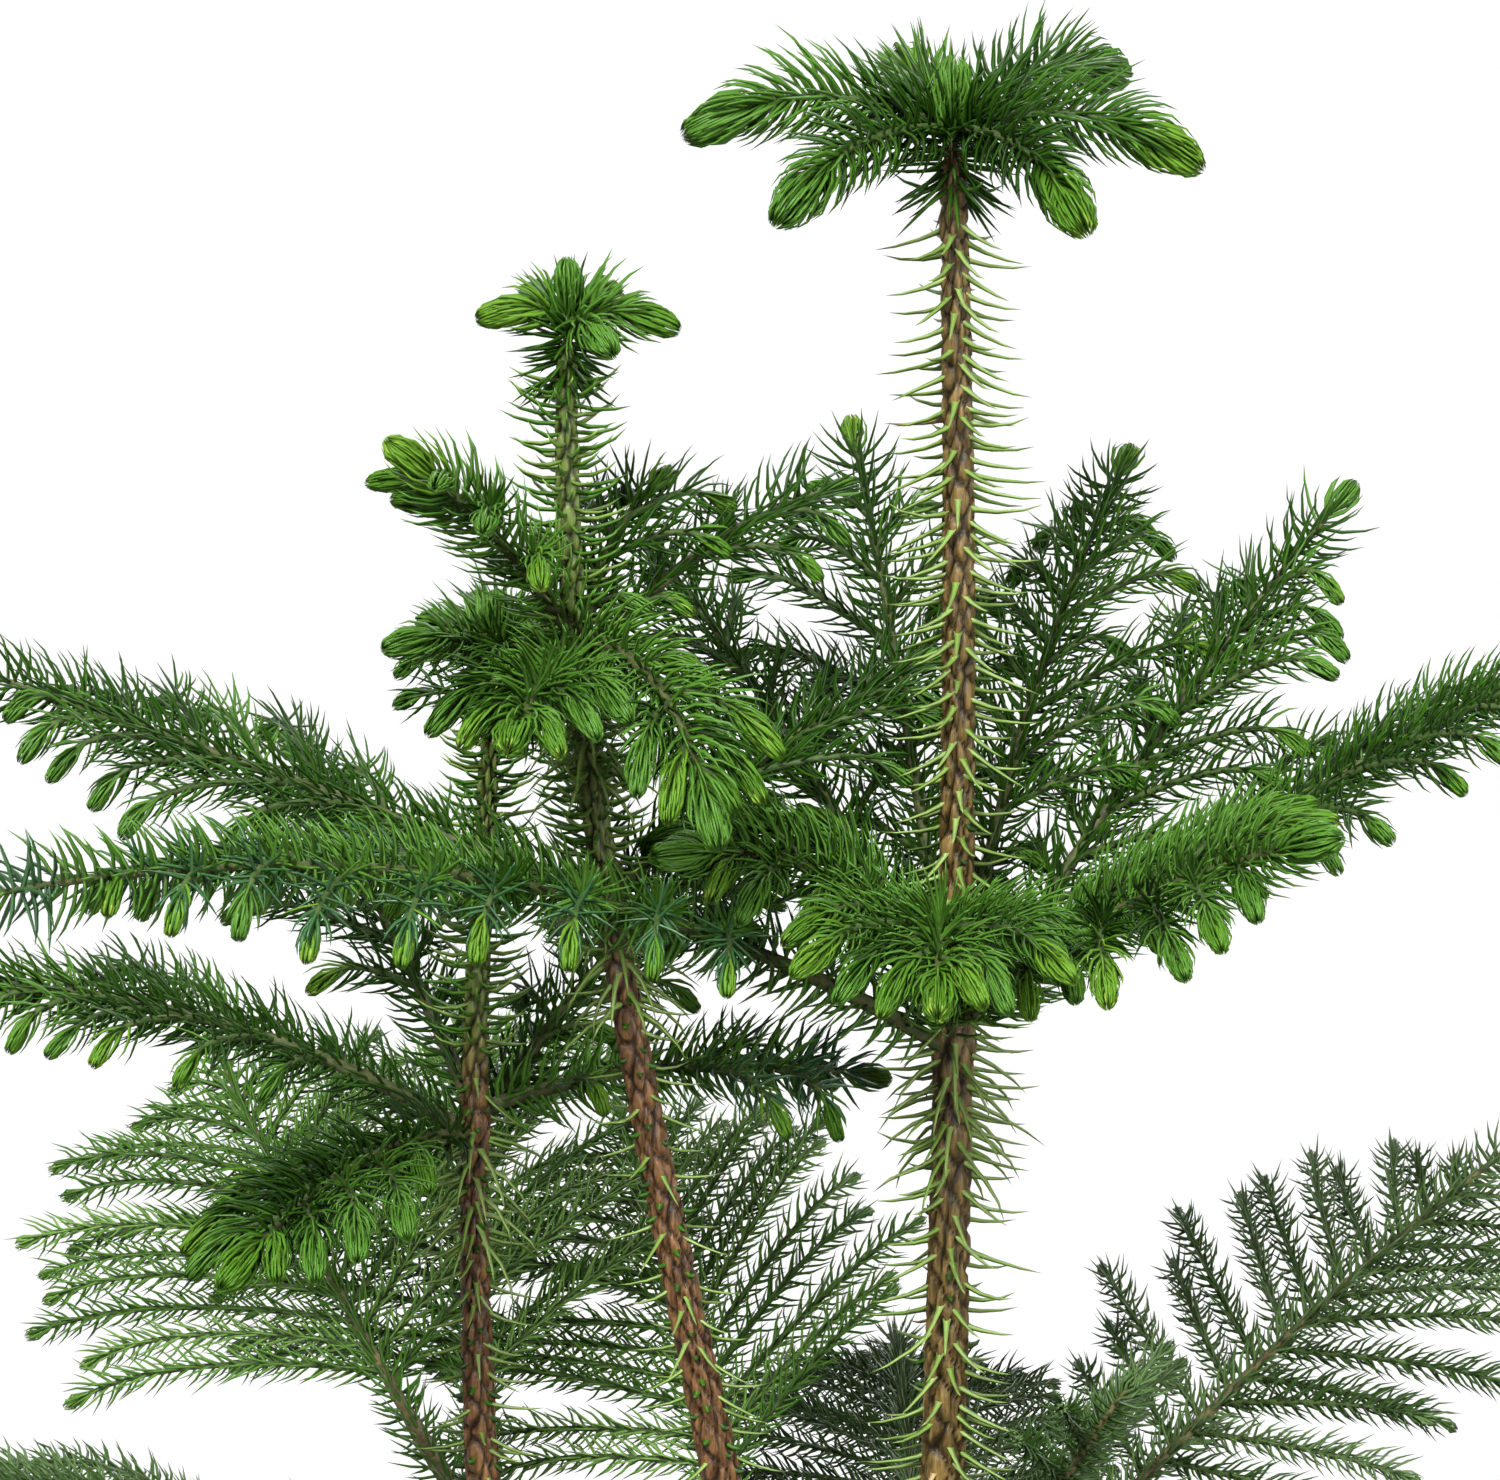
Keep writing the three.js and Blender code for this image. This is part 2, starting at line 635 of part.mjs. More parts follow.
for (const stem of STEMS) {
  const cutter = solidOf(stemSurface(stem, GAP));
  addMesh(`${stem.name}_stem`, fuse([stemSurface(stem, 0), ...stemNeedles(stem)]), BARK);
  addMesh(`${stem.name}_crown`, crownSolid(stem, stem.crown), YOUNG_FOLIAGE);
  for (const frond of grown.filter((one) => one.stem === stem)) {
    const name = `${stem.name}_${frond.whorl.name}`;
    if (frond.whorl.bare) addMesh(`${name}_bough_${frond.index + 1}`, boughSolid(frond, cutter), BOUGH_BARK);
    addMesh(`${name}_frond_${frond.index + 1}`, frondSolid(frond, cutter), FOLIAGE);
  }
}

export default plant;
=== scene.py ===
"""A clump of three young pines with bark, twigs and needles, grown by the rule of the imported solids.

The tables are in millimetres and degrees. The meshes are made in metres, in the frame of the solids.
"""
import math

import bpy
import numpy as np
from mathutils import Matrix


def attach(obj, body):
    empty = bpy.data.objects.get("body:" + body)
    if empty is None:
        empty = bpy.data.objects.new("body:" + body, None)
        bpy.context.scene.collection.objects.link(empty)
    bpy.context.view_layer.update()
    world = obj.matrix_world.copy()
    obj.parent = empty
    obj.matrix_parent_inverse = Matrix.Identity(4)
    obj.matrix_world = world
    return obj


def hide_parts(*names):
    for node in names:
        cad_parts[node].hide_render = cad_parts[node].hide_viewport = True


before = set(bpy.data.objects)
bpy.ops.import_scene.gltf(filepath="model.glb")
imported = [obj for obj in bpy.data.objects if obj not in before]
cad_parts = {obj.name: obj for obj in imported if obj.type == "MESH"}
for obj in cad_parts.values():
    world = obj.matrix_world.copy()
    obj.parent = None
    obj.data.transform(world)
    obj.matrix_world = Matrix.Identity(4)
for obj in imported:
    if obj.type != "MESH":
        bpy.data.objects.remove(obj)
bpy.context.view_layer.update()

MM = 0.001
EAST = np.array([1.0, 0.0, 0.0])
NORTH = np.array([0.0, 1.0, 0.0])
UP = np.array([0.0, 0.0, 1.0])
GOLDEN_ANGLE = math.radians(137.508)
ANY_TURN = 6.28

# The growth rule of the solids
GAP = 0.3
FLARE_FALL = 8
STEM_TAPER = 0.8
NODE_SWELL = 0.7
NODE_HEIGHT = 6
WHORL_STAGGER = 2.6
AXIS_TURN = 8
FIRST_TWIG = 0.24
LAST_TWIG = 0.9
PAST_BOUGH = 0.05
TWIG_STAGGER = 0.45
TWIG_ANGLE = 58
ANGLE_LOSS = 0.35
ANGLE_SPREAD = 5
TWIG_LIFT = 10
LIFT_SPREAD = 8
TWIG_FORWARD = 0.3
TWIG_SPREAD = 0.1
TWIG_TAPER = 1.7
FULL_TWIGS = 0.25
INNER_TWIGS = 0.5
SECTOR = 38
SHORTENED = 0.7
BOUGH_RADII = (2.3, 1.7)
AXIS_RADII = (1.7, 0.55)
NECK_HEIGHT = 9
BUD_HEIGHT = 20

# What is added to a seed, so that each use of it draws a number of its own
SEED_TURN = 0.3
SEED_ANGLE = 0.5
SEED_LIFT = 0.6
SEED_LENGTH = 0.7
SEED_SAG = 0.8
SEED_SHADE = 0.21
SEED_SPRAY = 0.9
SEED_FRESH = 0.22
SEED_BULB = 0.33
SEED_REACH = 0.44
SEED_PALE = 0.67

# Steps between the seeds of stems, whorls, twigs, sides and shoots, and the numbers that scatter them
STEM_SEED = 100
WHORL_SEED = 10
TWIG_SEED = 0.37
SIDE_SEED = 0.11
SHOOT_SEED = 1.7
SCATTER = 12.9898
SCATTER_START = 4.1414
SCATTER_SIZE = 43758.5453

# What is finer here than in the solids
HANGING_SHARE = 0.4
SAG_SPREAD = 0.35
TWIG_SPACE = 0.6
AXIS_SPACE = 1.6
SHORTEST_TWIG = 9
FEWEST_TWIGS = 3
FEWEST_NEEDLES = 3

# How finely lines are drawn
LINE_STEPS = 14
CLEAR_STEPS = LINE_STEPS // 4
STEM_STEPS = 400
STEM_BALLS = 160
AXIS_BALLS = 40
AXIS_STEP = 3
FEWEST_AXIS_STEPS = 16
PLACE_STEPS = 60
TANGENT_STEP = 0.01
UPRIGHT = 0.93
AXIS_SIDES = 8
TWIG_SIDES = 5
SHOOT_SIDES = 6
NEEDLE_SIDES = 3
AXIS_ROUGHNESS = 0.07

# Sizes of a crown's needles and bulbs, and bark colours in the crevices, darkened further there as painted
# shade, and on the flecks
LARGE_CROWN = (1.0, 1.0)
SMALL_CROWN = (0.82, 0.66)
BROWN_BARK = ((0.012, 0.007, 0.001), (0.135, 0.088, 0.028))
RED_BARK = ((0.014, 0.006, 0.002), (0.14, 0.07, 0.026))

# Shoots are bearing, length, and rise at root and tip. Fronds are the same, some with a roll. green_from and
# flush_from are the shares of the height where green needles and green bark begin.
STEMS = [{
    "name": "tall", "flare": 12.5, "bearing": 0, "root_radius": 5.2, "tip_radius": 2.9,
    "green_from": 0.985, "flush_from": 0.985, "spines": 1.0, "crown": LARGE_CROWN, "bark": BROWN_BARK,
    "bends": [(-4, 1, 170), (7, 0, 330), (0.5, 0, 497)],
    "shoots": [(180, 60, 24, -28), (0, 57, 17, -36), (222, 56, 6, -44), (306, 52, 4, -50),
               (50, 64, 28, -14), (104, 50, 24, 0)],
    "whorls": [
        {"name": "upper", "age": "young", "height": 318, "twigs": 54, "droop": 0.35, "bare": 0,
         "fronds": [(260, 112, 66, -24), (2, 165, 38, 24), (37, 147, 51, 42), (66, 150, 63, 30),
                    (101, 148, 58, 46), (140, 125, 55, 38), (212, 102, 72, 0, -30),
                    (314, 110, 42, 17, 30), (210, 232, 34, -4)],
         "kinds": {1: "lush", 5: "shaded", 6: "shaded", 7: "lush", 8: "lush", 9: "rosette"}},
        {"name": "middle", "age": "old", "height": 176, "twigs": 64, "droop": 0.35, "bare": 0.24,
         "angle": 76,
         "fronds": [(37, 195, 38, 24, 14), (92, 190, 12, -2), (160, 165, 12, 0), (272, 165, 26, 2),
                    (325, 92, 66, 56)]},
        {"name": "lower", "age": "old", "height": 84, "twigs": 60, "droop": 0.12, "bare": 0.26,
         "fronds": [(2, 190, 26, 4), (70, 190, 26, 4), (130, 180, 26, 4), (280, 180, 26, 2)]},
    ],
}, {
    "name": "leaning", "flare": 11.1, "bearing": 213, "root_radius": 5.0, "tip_radius": 2.2,
    "green_from": 0.74, "flush_from": 0.72, "spines": 0.6, "crown": SMALL_CROWN, "bark": RED_BARK,
    "bends": [(-8, -22, 150), (-80, -28, 320), (-74, -25, 462)],
    "shoots": [(178, 23, 30, -24), (2, 27, 20, -28), (300, 24, 10, -36), (60, 24, 30, -6),
               (118, 24, 30, -6)],
    "whorls": [
        {"name": "upper", "age": "young", "height": 402, "twigs": 38, "droop": 0.4, "bare": 0,
         "sector": 58,
         "fronds": [(258, 62, 12, -18), (302, 74, 8, -62), (45, 80, 38, 6), (212, 56, 56, 36),
                    (64, 54, 74, 16)],
         "kinds": {1: "lush", 2: "lush", 3: "shaded", 4: "lush", 5: "shaded"}},
        {"name": "middle", "age": "young", "height": 356, "twigs": 48, "droop": 0.35, "bare": 0,
         "fronds": [(166, 142, 18, 14, -10), (102, 120, 30, 6), (40, 100, 34, 10)],
         "kinds": {2: "shaded", 3: "shaded"}},
        {"name": "lower", "age": "middle", "height": 196, "twigs": 80, "droop": 0.5, "bare": 0.24,
         "sector": 52, "inner": 0.9,
         "fronds": [(100, 185, 26, 20, -25), (236, 175, 30, 6), (270, 165, 24, 2)],
         "kinds": {2: "old", 3: "old"}},
    ],
}, {
    "name": "short", "flare": 11, "bearing": 183, "root_radius": 4.6, "tip_radius": 2.1,
    "green_from": 0.8, "flush_from": 0.76, "spines": 0.6, "crown": SMALL_CROWN, "bark": RED_BARK,
    "bends": [(-88, 4, 62), (-106, 12, 230), (-90, 10, 392)],
    "shoots": [(280, 32, 24, -26), (352, 28, 20, -14), (64, 28, 24, -10), (136, 28, 24, -10),
               (208, 30, 24, -14)],
    "whorls": [
        {"name": "upper", "age": "young", "height": 298, "twigs": 46, "droop": 0.3, "bare": 0,
         "fronds": [(178, 124, 32, -2), (122, 110, 44, 26), (52, 110, 40, 20), (8, 88, 18, -14),
                    (238, 90, 14, -24)],
         "kinds": {4: "rosette", 5: "lush"}},
        {"name": "lower", "age": "middle", "height": 205, "twigs": 86, "droop": 0.6, "bare": 0.24,
         "sector": 58, "inner": 0.9,
         "fronds": [(97, 190, 26, 22, -20), (118, 190, 22, 20, -20), (192, 180, 12, -2),
                    (226, 165, 20, 0)],
         "kinds": {3: "old", 4: "old"}},
    ],
}]


def table(keys, rows):
    """Rows of values by name, each under the keys they share."""
    return {name: dict(zip(keys.split(), row)) for name, row in rows.items()}


# Twigs by age: pitch on the axis, reach of needles past the end, longest hanging tip, sag, bright bulbs
TWIGS = table("pitch past hanging sag bright", {
    "old": (9.0, 4.5, 8, 0.3, 0),
    "middle": (9.0, 5.0, 12, 0.3, 0),
    "young": (12.5, 5.5, 9, 1.4, 0.4),
    "shaded": (17.0, 5.5, 9, 1.0, 0.3),
    "lush": (12.5, 7.5, 14, 0.6, 0.5),
    "rosette": (17.0, 4.5, 12, 2.4, 0.8),
    "crown": (0, 7.0, 0, 0, 0.55),
})

# Needles are drawn as rings of points, each at a share of the length and with a share of the width
SLIM_RINGS = ((0, 1), (0.5, 0.8))
CURVED_RINGS = ((0, 0.9), (0.35, 1), (0.72, 0.62))
TAPERED_RINGS = ((0, 1), (0.12, 0.64), (0.36, 0.48), (0.72, 0.3))
STUMP_RINGS = ((0, 1), (0.3, 0.8), (0.7, 0.5))

# How needles stand on each kind of shoot. lean and end are angles from the shoot, at a needle's root and at
# its end. Over the length of the bud they close up into a bulb with its own radius, and just behind it they
# spread as a rosette. pitch is the length of shoot for one needle.
NEEDLES = table("length width pitch lean end loose bud bulb rosette crowd girth rings", {
    "old": (7.4, 0.74, 0.4, 60, 24, 8, 6, 1.9, 0, 0.6, (0.75, 0.45), SLIM_RINGS),
    "middle": (8.4, 0.74, 0.56, 50, 24, 8, 8, 2.1, 0, 0.8, (0.8, 0.5), SLIM_RINGS),
    "young": (10.4, 0.72, 0.52, 56, 16, 6, 11, 2.7, 10, 1.8, (0.9, 0.6), CURVED_RINGS),
    "shaded": (10.4, 0.72, 0.6, 56, 18, 6, 10, 2.4, 8, 1.6, (0.9, 0.6), CURVED_RINGS),
    "rosette": (9.6, 0.85, 0.5, 62, 32, 7, 11, 2.6, 22, 2.0, (0.9, 0.6), CURVED_RINGS),
    "lush": (12.0, 0.76, 0.42, 56, 14, 5, 18, 3.4, 0, 1.8, (1.0, 0.7), CURVED_RINGS),
    "crown": (14.0, 0.95, 0.29, 68, 30, 5, 22, 5.9, 0, 1.7, (1.2, 0.8), CURVED_RINGS),
})
# Needles on a frond's axis stand more upright, are longer, broader and closer, and end in a stouter bulb
AXIS_NEEDLES = {"length": 1.25, "width": 1.2, "pitch": 0.85, "lean": 1.25, "end": 1.5, "bulb": 1.35}

# Needles that stand out round a stem. rise is the angle at their roots and curl how far they turn up from
# there, each as a mean and a spread. sunk is how deep they are rooted. kinds are the share of the first kind
# and both kinds.
ROUND_NEEDLES = table("length loose width rise curl sunk kinds rings", {
    "stem": (13.6, 0.11, 2.15, (-24, 6), (26, 9), 0.4, (0.55, "stem_1", "stem_2"), TAPERED_RINGS),
    "stump": (3.6, 0.18, 2.0, (-34, 8), (72, 14), 0.2, (0.6, "old_1", "mature_2"), STUMP_RINGS),
    "skirt": (15.5, 0.12, 2.15, (-18, 8), (-48, 12), 0.4, (0.5, "stem_1", "stem_2"), TAPERED_RINGS),
    "green": (11.5, 0.08, 1.15, (-6, 7), (46, 9), 0.4, (0.65, "mature_3", "stem_1"), CURVED_RINGS),
    "collar": (11.5, 0.12, 0.95, (-42, 9), (0, 10), 0.7, (0.5, "mature_1", "mature_2"), CURVED_RINGS),
})

# Plain needle colours, as the shades that sprays are dealt
SHADES = {
    "old": [(0.014, 0.032, 0.006), (0.022, 0.046, 0.01), (0.038, 0.068, 0.021)],
    "middle": [(0.025, 0.066, 0.007), (0.04, 0.092, 0.013), (0.066, 0.13, 0.026)],
    "mature": [(0.0095, 0.031, 0.002), (0.018, 0.053, 0.0045), (0.033, 0.085, 0.01)],
    "blue": [(0.017, 0.052, 0.015)],
    "fresh": [(0.032, 0.083, 0.006), (0.046, 0.104, 0.008)],
    "tip": [(0.09, 0.145, 0.016)],
    "stem": [(0.084, 0.136, 0.027), (0.108, 0.16, 0.042)],
    "dry": [(0.21, 0.145, 0.07)],
}
KIND_TEXT = "<U12"


def chance(seed):
    """A repeatable number from 0 to 1 for each seed."""
    wave = math.sin(seed * SCATTER + SCATTER_START) * SCATTER_SIZE
    return wave - math.floor(wave)


def jitter(seed, spread):
    """A repeatable number from -spread to spread for each seed."""
    return (chance(seed) - 0.5) * 2 * spread


def heading(bearing, rise):
    """The direction with this bearing and rise."""
    bearing = math.radians(bearing)
    rise = math.radians(rise)
    level = math.cos(rise)
    return np.array([math.cos(bearing) * level, math.sin(bearing) * level, math.sin(rise)])


def unit(vectors):
    return vectors / np.linalg.norm(vectors, axis=-1, keepdims=True)


def turned(vector, axis, degrees):
    """A vector turned about a unit axis."""
    cos = math.cos(math.radians(degrees))
    sin = math.sin(math.radians(degrees))
    return vector * cos + np.cross(axis, vector) * sin + axis * (axis @ vector) * (1 - cos)


def between(first, second, angles):
    """Directions at angles from a first direction towards a second one across it."""
    return first * np.cos(angles)[..., None] + second * np.sin(angles)[..., None]


def smooth(share):
    """A share from 0 to 1, eased at both ends."""
    share = np.clip(share, 0, 1)
    return share * share * (3 - 2 * share)


def curve(controls, shares):
    """Points of the curve with these control points."""
    shares = np.atleast_1d(shares)[:, None]
    layer = [np.asarray(control, float) + 0 * shares for control in controls]
    while len(layer) > 1:
        layer = [a + (b - a) * shares for a, b in zip(layer, layer[1:])]
    return layer[0]


def marks_along(line):
    """The distance of each point of a line from its first point."""
    steps = np.linalg.norm(np.diff(line, axis=0), axis=1)
    return np.concatenate([[0], np.cumsum(steps)])


def frames(line, distances):
    """Centres, tangents and two cross directions at distances along a line of points."""
    marks = marks_along(line)
    steps = np.diff(marks)
    spot = np.clip(np.searchsorted(marks, distances, side="right") - 1, 0, len(steps) - 1)
    share = ((distances - marks[spot]) / steps[spot])[:, None]
    tangents = unit(np.gradient(line, axis=0))
    centre = line[spot] + (line[spot + 1] - line[spot]) * share
    along = unit(tangents[spot] + (tangents[spot + 1] - tangents[spot]) * share)
    upright = abs(unit(line[-1] - line[0])[2]) > UPRIGHT
    across = unit(np.cross(along, EAST if upright else UP))
    return centre, along, across, np.cross(across, along)


class Space:
    """The space already taken, as balls strung along each limb."""

    def __init__(self):
        self.centres = np.zeros((0, 3))
        self.reaches = np.zeros(0)
        self.owners = np.zeros(0)

    def clear(self, points, radius, owner):
        """Whether balls at these points keep clear of all limbs but the owner's own."""
        others = self.owners != owner
        apart = np.linalg.norm(points[:, None] - self.centres[others], axis=2)
        return bool((apart > self.reaches[others] + radius + GAP).all())

    def take(self, points, radius, owner):
        """Take the space of balls at these points."""
        self.centres = np.vstack([self.centres, points])
        self.reaches = np.append(self.reaches, np.full(len(points), radius))
        self.owners = np.append(self.owners, np.full(len(points), owner))


space = Space()
gathered = {}
dice = np.random.default_rng(7)


def gather(name, points, faces):
    """Keep points and the triangles between them for the piece they are joined in."""
    gathered.setdefault(name, []).append((points, faces))


def place_feet():
    """Stand the feet round one root crown, each flare touching the one before it."""
    foot = np.zeros(3)
    before = None
    for stem in STEMS:
        if before:
            foot = foot + heading(stem["bearing"], 0) * (before["flare"] + stem["flare"] + GAP)
        stem["controls"] = [foot, *(np.array(bend, float) for bend in stem["bends"])]
        stem["top"] = float(stem["bends"][-1][2])
        before = stem


def stem_points(stem, heights):
    """The stem's middle line at these heights."""
    line = curve(stem["controls"], np.linspace(0, 1, STEM_STEPS))
    columns = [np.interp(heights, line[:, 2], line[:, axis]) for axis in range(3)]
    return np.stack(columns, axis=-1)


def stem_radius(stem, heights):
    """The radius of the stem's solid at these heights."""
    share = np.maximum(0, 1 - heights / stem["top"])
    radius = stem["tip_radius"] + (stem["root_radius"] - stem["tip_radius"]) * share ** STEM_TAPER
    radius = radius + (stem["flare"] - stem["root_radius"]) * np.exp(-heights / FLARE_FALL)
    for whorl in stem["whorls"]:
        radius = radius + NODE_SWELL * np.exp(-((heights - whorl["height"]) / NODE_HEIGHT) ** 2)
    return radius


BARK_INSET = 0.55
INSET_FROM = 0.45
INSET_OVER = 0.35


def bark_radius(stem, heights):
    """The stem's radius without the relief of its bark, a little inside the solid towards its top."""
    slimmer = smooth((heights / stem["top"] - INSET_FROM) / INSET_OVER)
    return stem_radius(stem, heights) - BARK_INSET * slimmer


def frond_axis(stem, whorl, index, seed):
    """The axis of a frond, which leaves the stem steeply and levels out, and the age of its shoots."""
    bearing, length, rise, tip_rise, *extra = whorl["fronds"][index]
    height = whorl["height"] + (WHORL_STAGGER if index % 2 else -WHORL_STAGGER)
    start = stem_points(stem, np.array([height]))[0]
    bend = start + heading(bearing, rise) * length / 2
    tip = bend + heading(bearing + jitter(seed + SEED_TURN, AXIS_TURN), tip_rise) * length / 2
    roll = extra[0] if extra else 0
    facing = turned(UP, unit(tip - start), roll)
    age = whorl.get("kinds", {}).get(index + 1, whorl["age"])
    return {"controls": [start, bend, tip], "length": length, "facing": facing, "age": age, "seed": seed}


def twig_shape(share, inner):
    """How long the twigs are along a frond, from 0 at its first twig to 1 at its tip."""
    start = inner + (1 - inner) * min(1, share / FULL_TWIGS)
    return start * math.sqrt(max(0, 1 - share ** TWIG_TAPER))


def twig_of(whorl, axis, at, share, side, seed):
    """Root, directions and length of one twig."""
    root = curve(axis["controls"], at)[0]
    ahead, behind = curve(axis["controls"], [at + TANGENT_STEP, at - TANGENT_STEP])
    along = unit(ahead - behind)
    across = unit(np.cross(along, axis["facing"]))
    above = np.cross(across, along)
    widest = whorl.get("angle", TWIG_ANGLE)
    angle = math.radians(widest * (1 - ANGLE_LOSS * share) + jitter(seed + SEED_ANGLE, ANGLE_SPREAD))
    lift = math.radians(TWIG_LIFT + jitter(seed + SEED_LIFT, LIFT_SPREAD))
    sideways = across * side * math.cos(lift) + above * math.sin(lift)
    out = along * math.cos(angle) + sideways * math.sin(angle)
    end = unit(out + TWIG_FORWARD * along - whorl["droop"] * UP)
    sector = math.tan(math.radians(whorl.get("sector", SECTOR)))
    room = axis["length"] * at * sector / math.sin(angle)
    longest = whorl["twigs"] * twig_shape(share, whorl.get("inner", INNER_TWIGS))
    length = min(longest, room) * (1 + jitter(seed + SEED_LENGTH, TWIG_SPREAD))
    return {"root": root, "out": out, "end": end, "length": length}


def twig_line(twig, length, age, seed):
    """The twig's middle line, with a hanging tip, as points."""
    length = length - TWIGS[age]["past"]
    hanging = min(TWIGS[age]["hanging"], HANGING_SHARE * length)
    sag = TWIGS[age]["sag"] * (1 + jitter(seed + SEED_SAG, SAG_SPREAD))
    bend = twig["root"] + twig["out"] * length / 2
    lead = bend + twig["end"] * (length / 2 - hanging)
    tip = lead + unit(twig["end"] - sag * UP) * hanging
    return curve([twig["root"], bend, lead, tip], np.linspace(0, 1, LINE_STEPS))


def tube(name, line, radii, sides, rough=0.0):
    """A tapering tube round a line, closed at its end, gathered under a name."""
    count = len(line)
    centre, _, across, above = frames(line, marks_along(line))
    turns = np.arange(sides) * 2 * math.pi / sides
    girth = np.asarray(radii)[:, None] * (1 + rough * dice.uniform(-1, 1, (count, sides)))
    spokes = between(across[:, None], above[:, None], turns)
    points = (centre[:, None] + spokes * girth[..., None]).reshape(-1, 3)
    points = np.vstack([points, line[-1:]])
    gather(name, points, tube_faces(count, sides))


def tube_faces(rings, sides):
    """The triangles of a tube of rings, closed by one point after the last ring."""
    row = np.arange(rings - 1)[:, None] * sides
    here = np.arange(sides)
    there = (here + 1) % sides
    a, b, c, d = row + here, row + there, row + sides + there, row + sides + here
    walls = [np.stack([a, c, b], -1).reshape(-1, 3), np.stack([a, d, c], -1).reshape(-1, 3)]
    last = (rings - 1) * sides
    cap = np.stack([last + here, np.full(sides, rings * sides), last + there], -1)
    return np.concatenate([*walls, cap])


def needle_places(length, bare, style):
    """Distances along a shoot where its needles stand, closer together in the bud."""
    grid = np.linspace(bare, length, PLACE_STEPS)
    packed = 1 + style["crowd"] * (1 - smooth((length - grid) / style["bud"]))
    density = packed / style["pitch"]
    total = np.concatenate([[0], np.cumsum((density[1:] + density[:-1]) / 2 * np.diff(grid))])
    count = max(FEWEST_NEEDLES, int(total[-1]))
    return np.interp((np.arange(count) + 0.5) * total[-1] / count, total, grid)


def bent(base, first, last, length):
    """Bend and tip of needles that leave in one direction and end in another."""
    half = length[:, None] / 2
    bend = base + first * half
    return bend, bend + last * half


def needle_mesh(base, bend, tip, width, side, rings):
    """Slim three-sided needles: rings of points along a bent line, and a tip."""
    columns = []
    for share, wide in rings:
        centre = base * (1 - share) ** 2 + bend * 2 * share * (1 - share) + tip * share ** 2
        tangent = unit((bend - base) * (1 - share) + (tip - bend) * share)
        normal = np.cross(side, tangent)
        for number in range(NEEDLE_SIDES):
            turn = math.pi / 2 + number * 2 * math.pi / NEEDLE_SIDES
            spoke = side * math.cos(turn) + normal * math.sin(turn)
            columns.append(centre + spoke * (width * wide / 2)[:, None])
    columns.append(tip)
    points = np.stack(columns, axis=1)
    template = tube_faces(len(rings), NEEDLE_SIDES)
    starts = np.arange(len(base))[:, None, None] * points.shape[1]
    return points, template[None] + starts


def add_needles(stem, kinds, base, bend, tip, width, side, rings):
    """Gather needles, each under the kind it was dealt."""
    for kind in sorted(set(kinds)):
        mine = kinds == kind
        points, faces = needle_mesh(base[mine], bend[mine], tip[mine], width[mine], side[mine], rings)
        gather(f"{stem['name']}_needles_{kind}", points.reshape(-1, 3), faces.reshape(-1, 3))


# Spreads of a needle's turn, length and width, how much longer it is on the upper side, and its depth
TURN_SPREAD = 0.2
NEEDLE_SPREAD = 0.08
WIDTH_SPREAD = 0.1
UPPER_LONGER = 0.1
ROOT_DEPTH = 0.6

# The rosette behind a bulb, and how much more open and loose needles are at their ends than at their roots
ROSETTE_REACH = 2.5
ROSETTE_END = 1.5
LOOSE_END = 1.2


def open_needles(style, base, along, spread, left):
    """Bend and tip of needles that stand open, most of all in the rosette behind a bulb."""
    count = len(left)
    rosette = style["rosette"] * np.exp(-((left - style["bud"]) / ROSETTE_REACH) ** 2)
    lean = style["lean"] + rosette + dice.normal(0, style["loose"], count)
    end = style["end"] + ROSETTE_END * rosette + dice.normal(0, style["loose"] * LOOSE_END, count)
    length = style["length"] * (1 + dice.normal(0, NEEDLE_SPREAD, count))
    first = between(along, spread, np.radians(lean))
    last = between(along, spread, np.radians(end))
    return bent(base, first, last, length * (1 + UPPER_LONGER * spread[:, 2]))


# The closed part of a bud, the round part of a bulb, how far the largest lies past its shoot, the length and
# belly of its needles, and how far out and how deep they end
CLOSED_BUD = 0.5
ROUND_END = 0.5
BULB_PAST = 6.0
BULB_NEEDLE = 0.8
BULB_BELLY = 1.3
BULB_ENDS = (0.86, 1)
BULB_DEPTHS = (0.72, 1)


def bulb_past(style):
    """How far a bulb lies past the end of its shoot."""
    return BULB_PAST * style["bulb"] / NEEDLES["crown"]["bulb"]


def bulb_radius(style, left):
    """Radius of the closed bulb round a shoot's end, which lies a little past that end."""
    past = bulb_past(style)
    share = np.clip((left + past) / (style["bud"] + past), 0, 1)
    return style["bulb"] * np.sqrt(1 - (1 - np.minimum(share / ROUND_END, 1)) ** 2)


def bulb_needles(style, line, left, spread):
    """Bend and tip of needles that lie closed on the bulb."""
    count = len(left)
    length = style["length"] * BULB_NEEDLE * (1 + dice.normal(0, NEEDLE_SPREAD, count))
    tip_left = np.maximum(left - length, -bulb_past(style) * dice.uniform(*BULB_ENDS, count))
    mid_left = (left + tip_left) / 2
    reach = marks_along(line)[-1]
    depth = dice.uniform(*BULB_DEPTHS, count)[:, None]
    belly = bulb_radius(style, mid_left)[:, None] * depth * BULB_BELLY
    bend = beyond(line, reach - mid_left) + spread * belly
    tip = beyond(line, reach - tip_left) + spread * bulb_radius(style, tip_left)[:, None] * depth
    return bend, tip


def beyond(line, distances):
    """Points at distances along a line, or straight on past its end."""
    reach = marks_along(line)[-1]
    centre, along, _, _ = frames(line, np.minimum(distances, reach))
    return centre + along * np.maximum(distances - reach, 0)[:, None]


def scaled(style, **shares):
    """A needle style with some of its numbers multiplied."""
    return {**style, **{key: style[key] * share for key, share in shares.items()}}


